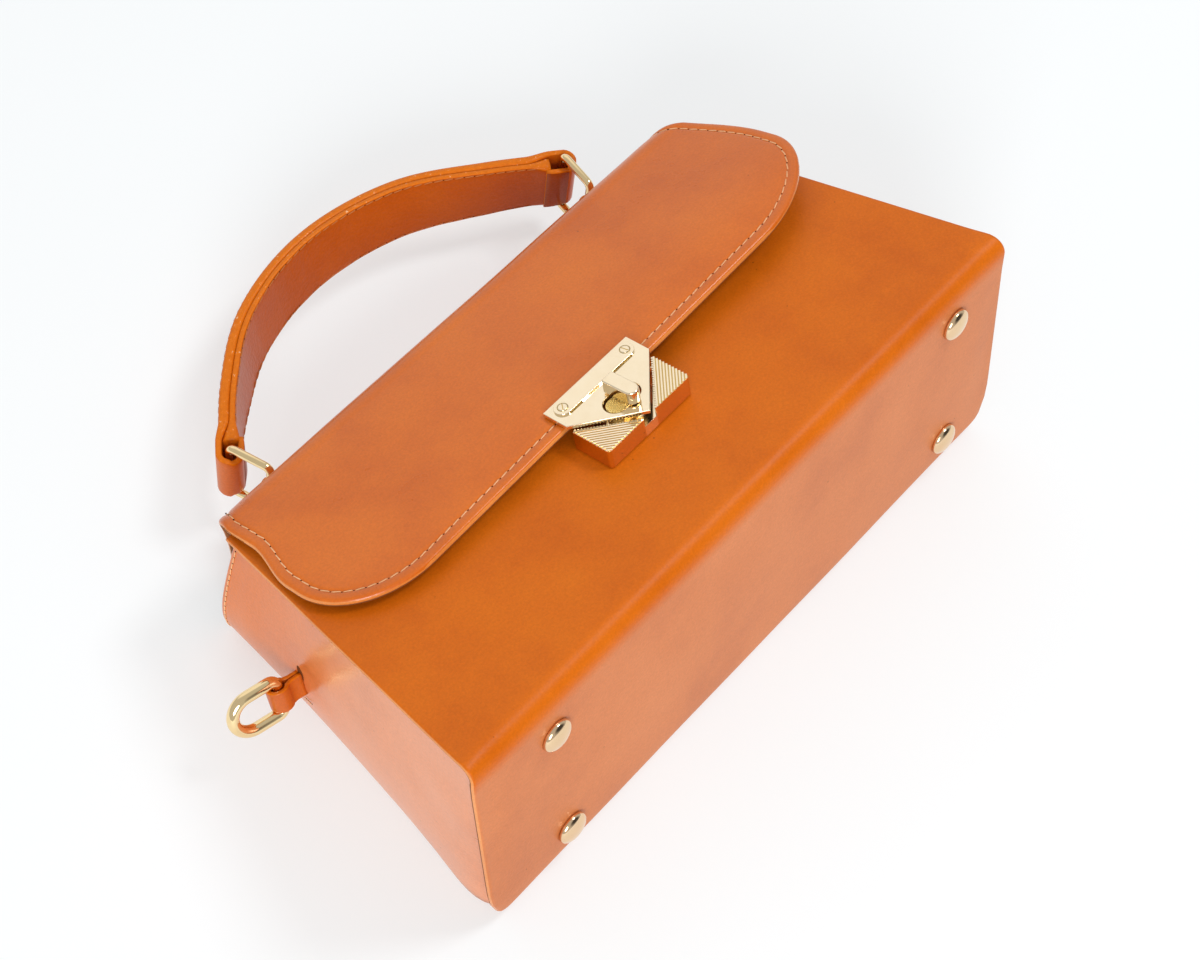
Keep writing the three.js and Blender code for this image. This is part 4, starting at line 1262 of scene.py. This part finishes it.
def route_through(stops, count):
    """Smooth points through the stops, evenly spread between each two."""
    ends = [stops[0] * 2 - stops[1], *stops, stops[-1] * 2 - stops[-2]]
    points = []
    for i in range(1, len(ends) - 2):
        p0, p1, p2, p3 = four = ends[i - 1 : i + 3]
        times = [0]
        for a, b in zip(four, four[1:]):
            times.append(times[-1] + max((b - a).xy.length, 1e-6) ** 0.5)
        t0, t1, t2, t3 = times
        for step in range(count):
            t = lerp(t1, t2, step / count)
            middle = between(p1, p2, t1, t2, t)
            first = between(between(p0, p1, t0, t1, t), middle, t0, t2, t)
            second = between(middle, between(p2, p3, t2, t3, t), t1, t3, t)
            points.append(between(first, second, t1, t2, t))
    return points + [stops[-1]]


def handle_frames():
    """(middle, across, out) along the strap. Z of the route holds the lean in degrees."""
    first, last = [Vector((eye.x, eye.y, 0)) for eye in EYES]
    route = route_through([first, *(Vector(p) for p in HANDLE_ROUTE), last], 16)
    frames = []
    for i, place in enumerate(route):
        ahead = (route[min(i + 1, len(route) - 1)] - route[max(i - 1, 0)]).xy.normalized()
        level = Vector((-ahead.y, ahead.x, 0))
        lean = radians(place.z)
        across = level * sin(lean) + UPWARDS * cos(lean)
        out = level * cos(lean) - UPWARDS * sin(lean)
        frames.append((Vector((place.x, place.y, HANDLE_HEIGHT)), across, out))
    return frames


def handle():
    frames = handle_frames()

    def away(frame_):
        return min((frame_[0] - eye).length for eye in EYES)

    def free(frame_):
        """0 at a ring, 1 where the layers lie together."""
        return smoothstep(away(frame_), STRAP_LOOP, STRAP_LOOP + LOOP_FADE)

    def layer(part, offset, thickness, width=STRAP_WIDTH):
        """Stations of a layer that swings out to the loop's radius as it comes near a ring."""
        result = []
        for frame_ in part:
            middle, across, out = frame_
            share = free(frame_)
            place = middle + out * copysign(lerp(STRAP_LOOP, abs(offset), share), offset)
            result.append((place, across, out, width, lerp(STRAP_INNER, thickness, share)))
        return result

    def turn_round(eye, near, sign):
        """The outer layer's way round a ring, from the outside to the inside."""
        out = near[2]
        back = out.cross(UPWARDS).normalized() * sign
        result = []
        for degrees in range(75, -76, -15):
            angle = radians(degrees)
            radial = out * sin(angle) + back * cos(angle)
            narrow = STRAP_END_WIDTH if degrees < 0 else STRAP_WIDTH
            result.append((eye + radial * STRAP_LOOP, UPWARDS, radial, narrow, STRAP_INNER))
        return result

    def tab_end(part):
        """The end that comes back on the inside, from the loop towards the strap."""
        ends = [f for f in part if away(f) < STRAP_END]
        stations = layer(ends, -STRAP_INNER - STRAP_TAB / 2, STRAP_TAB, STRAP_END_WIDTH)
        return [(c, a, -o, w, t) for c, a, o, w, t in stations]

    def lining(part):
        """The inner layer, which fills the wedge where the outer layer leaves for a ring."""
        result = []
        for frame_ in part:
            middle, across, out = frame_
            share = free(frame_)
            high = lerp(STRAP_LOOP - STRAP_INNER / 2, 0, share)
            uneven = LINING_WAVE * waves(middle.x, middle.y, LINING_WAVE_SIZE, 3.3)
            low = lerp(STRAP_LOOP, STRAP_INNER, share) + uneven
            width = STRAP_WIDTH - 2 * LINING_INSET
            result.append((middle + out * (high - low) / 2, across, out, width, high + low))
        return result

    strap = [f for f in frames if away(f) > TURN_CLEAR]
    half = len(strap) // 2
    left_turn = list(reversed(turn_round(EYES[0], frames[0], -1)))
    right_turn = turn_round(EYES[1], frames[-1], 1)
    outer_layer = left_turn + layer(strap, STRAP_OUTER / 2, STRAP_OUTER) + right_turn
    strip("handle_outer_leather", outer_layer, STRAP_LOOK, "handle")
    left_end = [left_turn[0], *tab_end(strap[:half])]
    right_end = [right_turn[-1], *reversed(tab_end(strap[half:]))]
    # The ends take the darker leather: painted shade
    for side, stations in (("left", left_end), ("right", right_end)):
        strip(f"handle_end_{side}_leather", stations, STRAP_ENDS_SHADE)
    inside = lining([f for f in strap if away(f) > STRAP_LOOP + LINING_CLEAR])
    strip("handle_inner_leather", inside, STRAP_INSIDE)
    sewn = [f for f in strap if away(f) > STRAP_END + SEWN_CLEAR]
    inset = STRAP_WIDTH / 2 - STRAP_STITCH
    for edge, place in (("high", inset), ("low", -inset)):
        for face, out_by in (("outer", STRAP_OUTER - STITCH_SINK), ("inner", -STRAP_INNER)):
            stations = layer(sewn, out_by, STRAP_INNER)
            seam = [(c + a * place, o * copysign(1, out_by)) for c, a, o, _, _ in stations]
            row = f"handle_stitches_{face}_{edge}"
            stitches(row, seam, radius=STRAP_THREAD_RADIUS, thread=STRAP_THREAD)


handle()


# Side tabs and rings
def side_ring(side, sign, swing):
    front_up = (SIDE_TAB_Y - FRONT_FOOT.x) / FRONT_UP.x
    across = SIDE_TAB_Z / on_front(0, front_up, 0).z
    half = lerp(back_half(SIDE_TAB_Y), front_half(front_up), across) - SEAM_INSET
    x = half + gusset_bulge(SIDE_TAB_Y, SIDE_TAB_Z, across)
    out = Vector((sign * cos(SIDE_OUT_TILT), sin(SIDE_OUT_TILT), 0))
    down = Vector((0, -sin(SIDE_BAR_TILT), -cos(SIDE_BAR_TILT)))
    bar = (down - out * down.dot(out)).normalized()
    seat = Matrix.Translation(Vector((sign * x, SIDE_TAB_Y, SIDE_TAB_Z)) + out * GAP)
    seat = seat @ Matrix((out, bar, out.cross(bar))).transposed().to_4x4()
    bend = SIDE_RING_REACH - SIDE_RING_HALF
    loop = arc(SIDE_RING_CORNER, SIDE_RING_CORNER - SIDE_RING_HALF, SIDE_RING_CORNER, 180, 270, 6)
    loop += arc(bend, 0, SIDE_RING_HALF, -90, 90, 24)
    loop += arc(SIDE_RING_CORNER, SIDE_RING_HALF - SIDE_RING_CORNER, SIDE_RING_CORNER, 90, 180, 6)
    place = seat @ Matrix.Translation((SIDE_TAB_REACH, 0, 0)) @ Matrix.Rotation(swing, 4, "Y")
    ring = wire(f"side_ring_{side}_metal", loop, SIDE_RING_WIRE, RING_GOLD, place)
    attach(ring, "pale_gold", f"side_ring_{side}", body=f"{side}_ring")
    radius = SIDE_RING_WIRE + GAP + SIDE_TAB_THICKNESS / 2
    layer = [Vector((d, 0, SIDE_TAB_SPLIT + SIDE_TAB_FLARE * d)) for d in SIDE_TAB_STEPS]
    bow = [radians(a) for a in range(150, -151, -15)]
    route = layer + [Vector((SIDE_TAB_REACH + radius * cos(a), 0, radius * sin(a))) for a in bow]
    route += [Vector((p.x, 0, -p.z)) for p in reversed(layer)]

    def sizes(t):
        width = lerp(SIDE_TAB_FOOT, SIDE_EYE_LENGTH, smoothstep(0.5 - abs(t - 0.5), 0, 0.2))
        return width, SIDE_TAB_THICKNESS

    stations = moved(flat_stations(route, Vector((0, 1, 0)), sizes), seat)
    strip(f"side_tab_{side}_leather", stations, TAB_LOOK, f"side_tab_{side}")
    points, faces = [], []
    spin = seat.to_3x3()
    axes = [spin @ Vector(v) for v in ((0, SIDE_SLIT / 2, 0), (0, 0, SLIT_HALF), (SLIT_DEPTH, 0, 0))]
    ball(points, faces, seat @ Vector((-0.2, 0, 0)), axes, 10, 32)
    attach(make_mesh(f"side_slit_{side}", points, faces, [SLIT]), "tan_leather")
    tack = [(seat @ Vector((0.25, SIDE_SLIT / 2 + 0.6, z)), out) for z in (-TACK_HALF, 0, TACK_HALF)]
    stitches(f"side_tack_{side}", tack, TACK_PITCH, TACK_THREAD)


for place in SIDE_SWINGS:
    side_ring(*place)


# Feet
def foot(row, side, x, from_front):
    profile = [(0.5, GAP), (FOOT_RADIUS, GAP), (FOOT_RADIUS, GAP + 0.5)]
    for step in range(1, 12):
        angle = pi / 2 * step / 11.05
        profile.append((FOOT_RADIUS * cos(angle), GAP + lerp(FOOT_RIM, FOOT_HEIGHT, sin(angle))))
    place = BASE_FRAME @ Matrix.Translation((x, BASE_DEPTH - from_front, 0))
    piece = lathe(f"foot_{row}_{side}_metal", profile, FOOT_METAL, place)
    attach(piece, "foot_metal", f"foot_{row}_{side}")


for place in FEET:
    foot(*place)


# Floor: half of its white is its own glow, so that shadows on it stay faint
FLOOR_HALF = 6
FLOOR_GLOW = 0.455
FLOOR_COLOUR = (0.48, 0.505, 0.515)


def floor():
    material, tree, shader, place = nodes_of("pale_floor")
    cloud = noise_of(tree, place, 3, 2, 0.5)
    stops = [(0.3, tone(FLOOR_COLOUR, (0.98,) * 3)), (0.7, (*FLOOR_COLOUR, 1))]
    look = [("Base Color", ramp(tree, cloud, stops)), ("Roughness", 0.7), ("Specular IOR Level", 0.2)]
    look += [("Emission Color", grey(1)), ("Emission Strength", FLOOR_GLOW)]
    fill(tree, shader, look)
    mesh = bpy.data.meshes.new("floor")
    corners = [(x, y, 0) for x, y in rectangle(-FLOOR_HALF, -FLOOR_HALF, FLOOR_HALF, FLOOR_HALF)]
    mesh.from_pydata(corners, [], [(0, 1, 2, 3)])
    mesh.materials.append(material)
    add_object("floor", mesh)


floor()


# Light
def area(name, place, size, power):
    """A round lamp that faces the bag's middle."""
    lamp = bpy.data.lights.new(name, "AREA")
    lamp.shape = "DISK"
    lamp.size = size
    lamp.energy = power
    piece = add_object(name, lamp)
    piece.location = place
    piece.rotation_euler = (-Vector(place)).to_track_quat("-Z", "Y").to_euler()


# A white studio: one dark side, which the front fold and the lock's small walls reflect, and a bright
# patch behind the bag, which the flat metal reflects
DARK_SIDE = Vector((0.43, -0.8, 0.42)).normalized()
BRIGHT_SIDE = Vector((0.426, 0.713, 0.556)).normalized()
STUDIO_LEVEL = 0.57


def studio():
    world = bpy.data.worlds.new("studio")
    world.use_nodes = True
    tree = world.node_tree
    direction = linked(tree, "ShaderNodeTexCoord").outputs["Generated"]

    def patch(towards, stops):
        return ramp(tree, facing(tree, direction, towards), stops)

    dark = patch(DARK_SIDE, [(0.82, grey(STUDIO_LEVEL)), (0.96, grey(0.06))])
    bright = patch(BRIGHT_SIDE, [(0.8, grey(0)), (0.93, grey(0.42))])
    both = maths(tree, "ADD", dark, bright, kind="ShaderNodeVectorMath")
    fill(tree, tree.nodes["Background"], [("Color", both), ("Strength", 1)])
    bpy.context.scene.world = world


studio()
bpy.context.scene.view_settings.view_transform = "Standard"
area("top_light", (0.77, -0.36, 1.6), size=0.5, power=9)
area("near_light", (-1.3, -1.1, 1), size=1, power=22)

# Camera at the photograph's place
CAMERA_PLACE = Vector((-346.83, -149.34 - BACK_CENTRE, 735.03)) * MM
CAMERA_RIGHT = Vector((0.652121, -0.752998, 0.087927))
CAMERA_UP = Vector((0.627381, 0.601134, 0.495006))
CAMERA_BACK = Vector((-0.425595, -0.267640, 0.864429))
CAMERA_FOCAL = 2604.44
IMAGE_WIDTH = 1200
SENSOR_WIDTH = 36
camera_data = bpy.data.cameras.new("camera")
camera_data.sensor_fit = "HORIZONTAL"
camera_data.sensor_width = SENSOR_WIDTH
camera_data.lens = CAMERA_FOCAL * SENSOR_WIDTH / IMAGE_WIDTH
camera_data.clip_start = 0.01
camera = add_object("camera", camera_data)
turn = Matrix((CAMERA_RIGHT, CAMERA_UP, CAMERA_BACK)).transposed().to_4x4()
camera.matrix_world = Matrix.Translation(CAMERA_PLACE) @ turn
bpy.context.scene.camera = camera
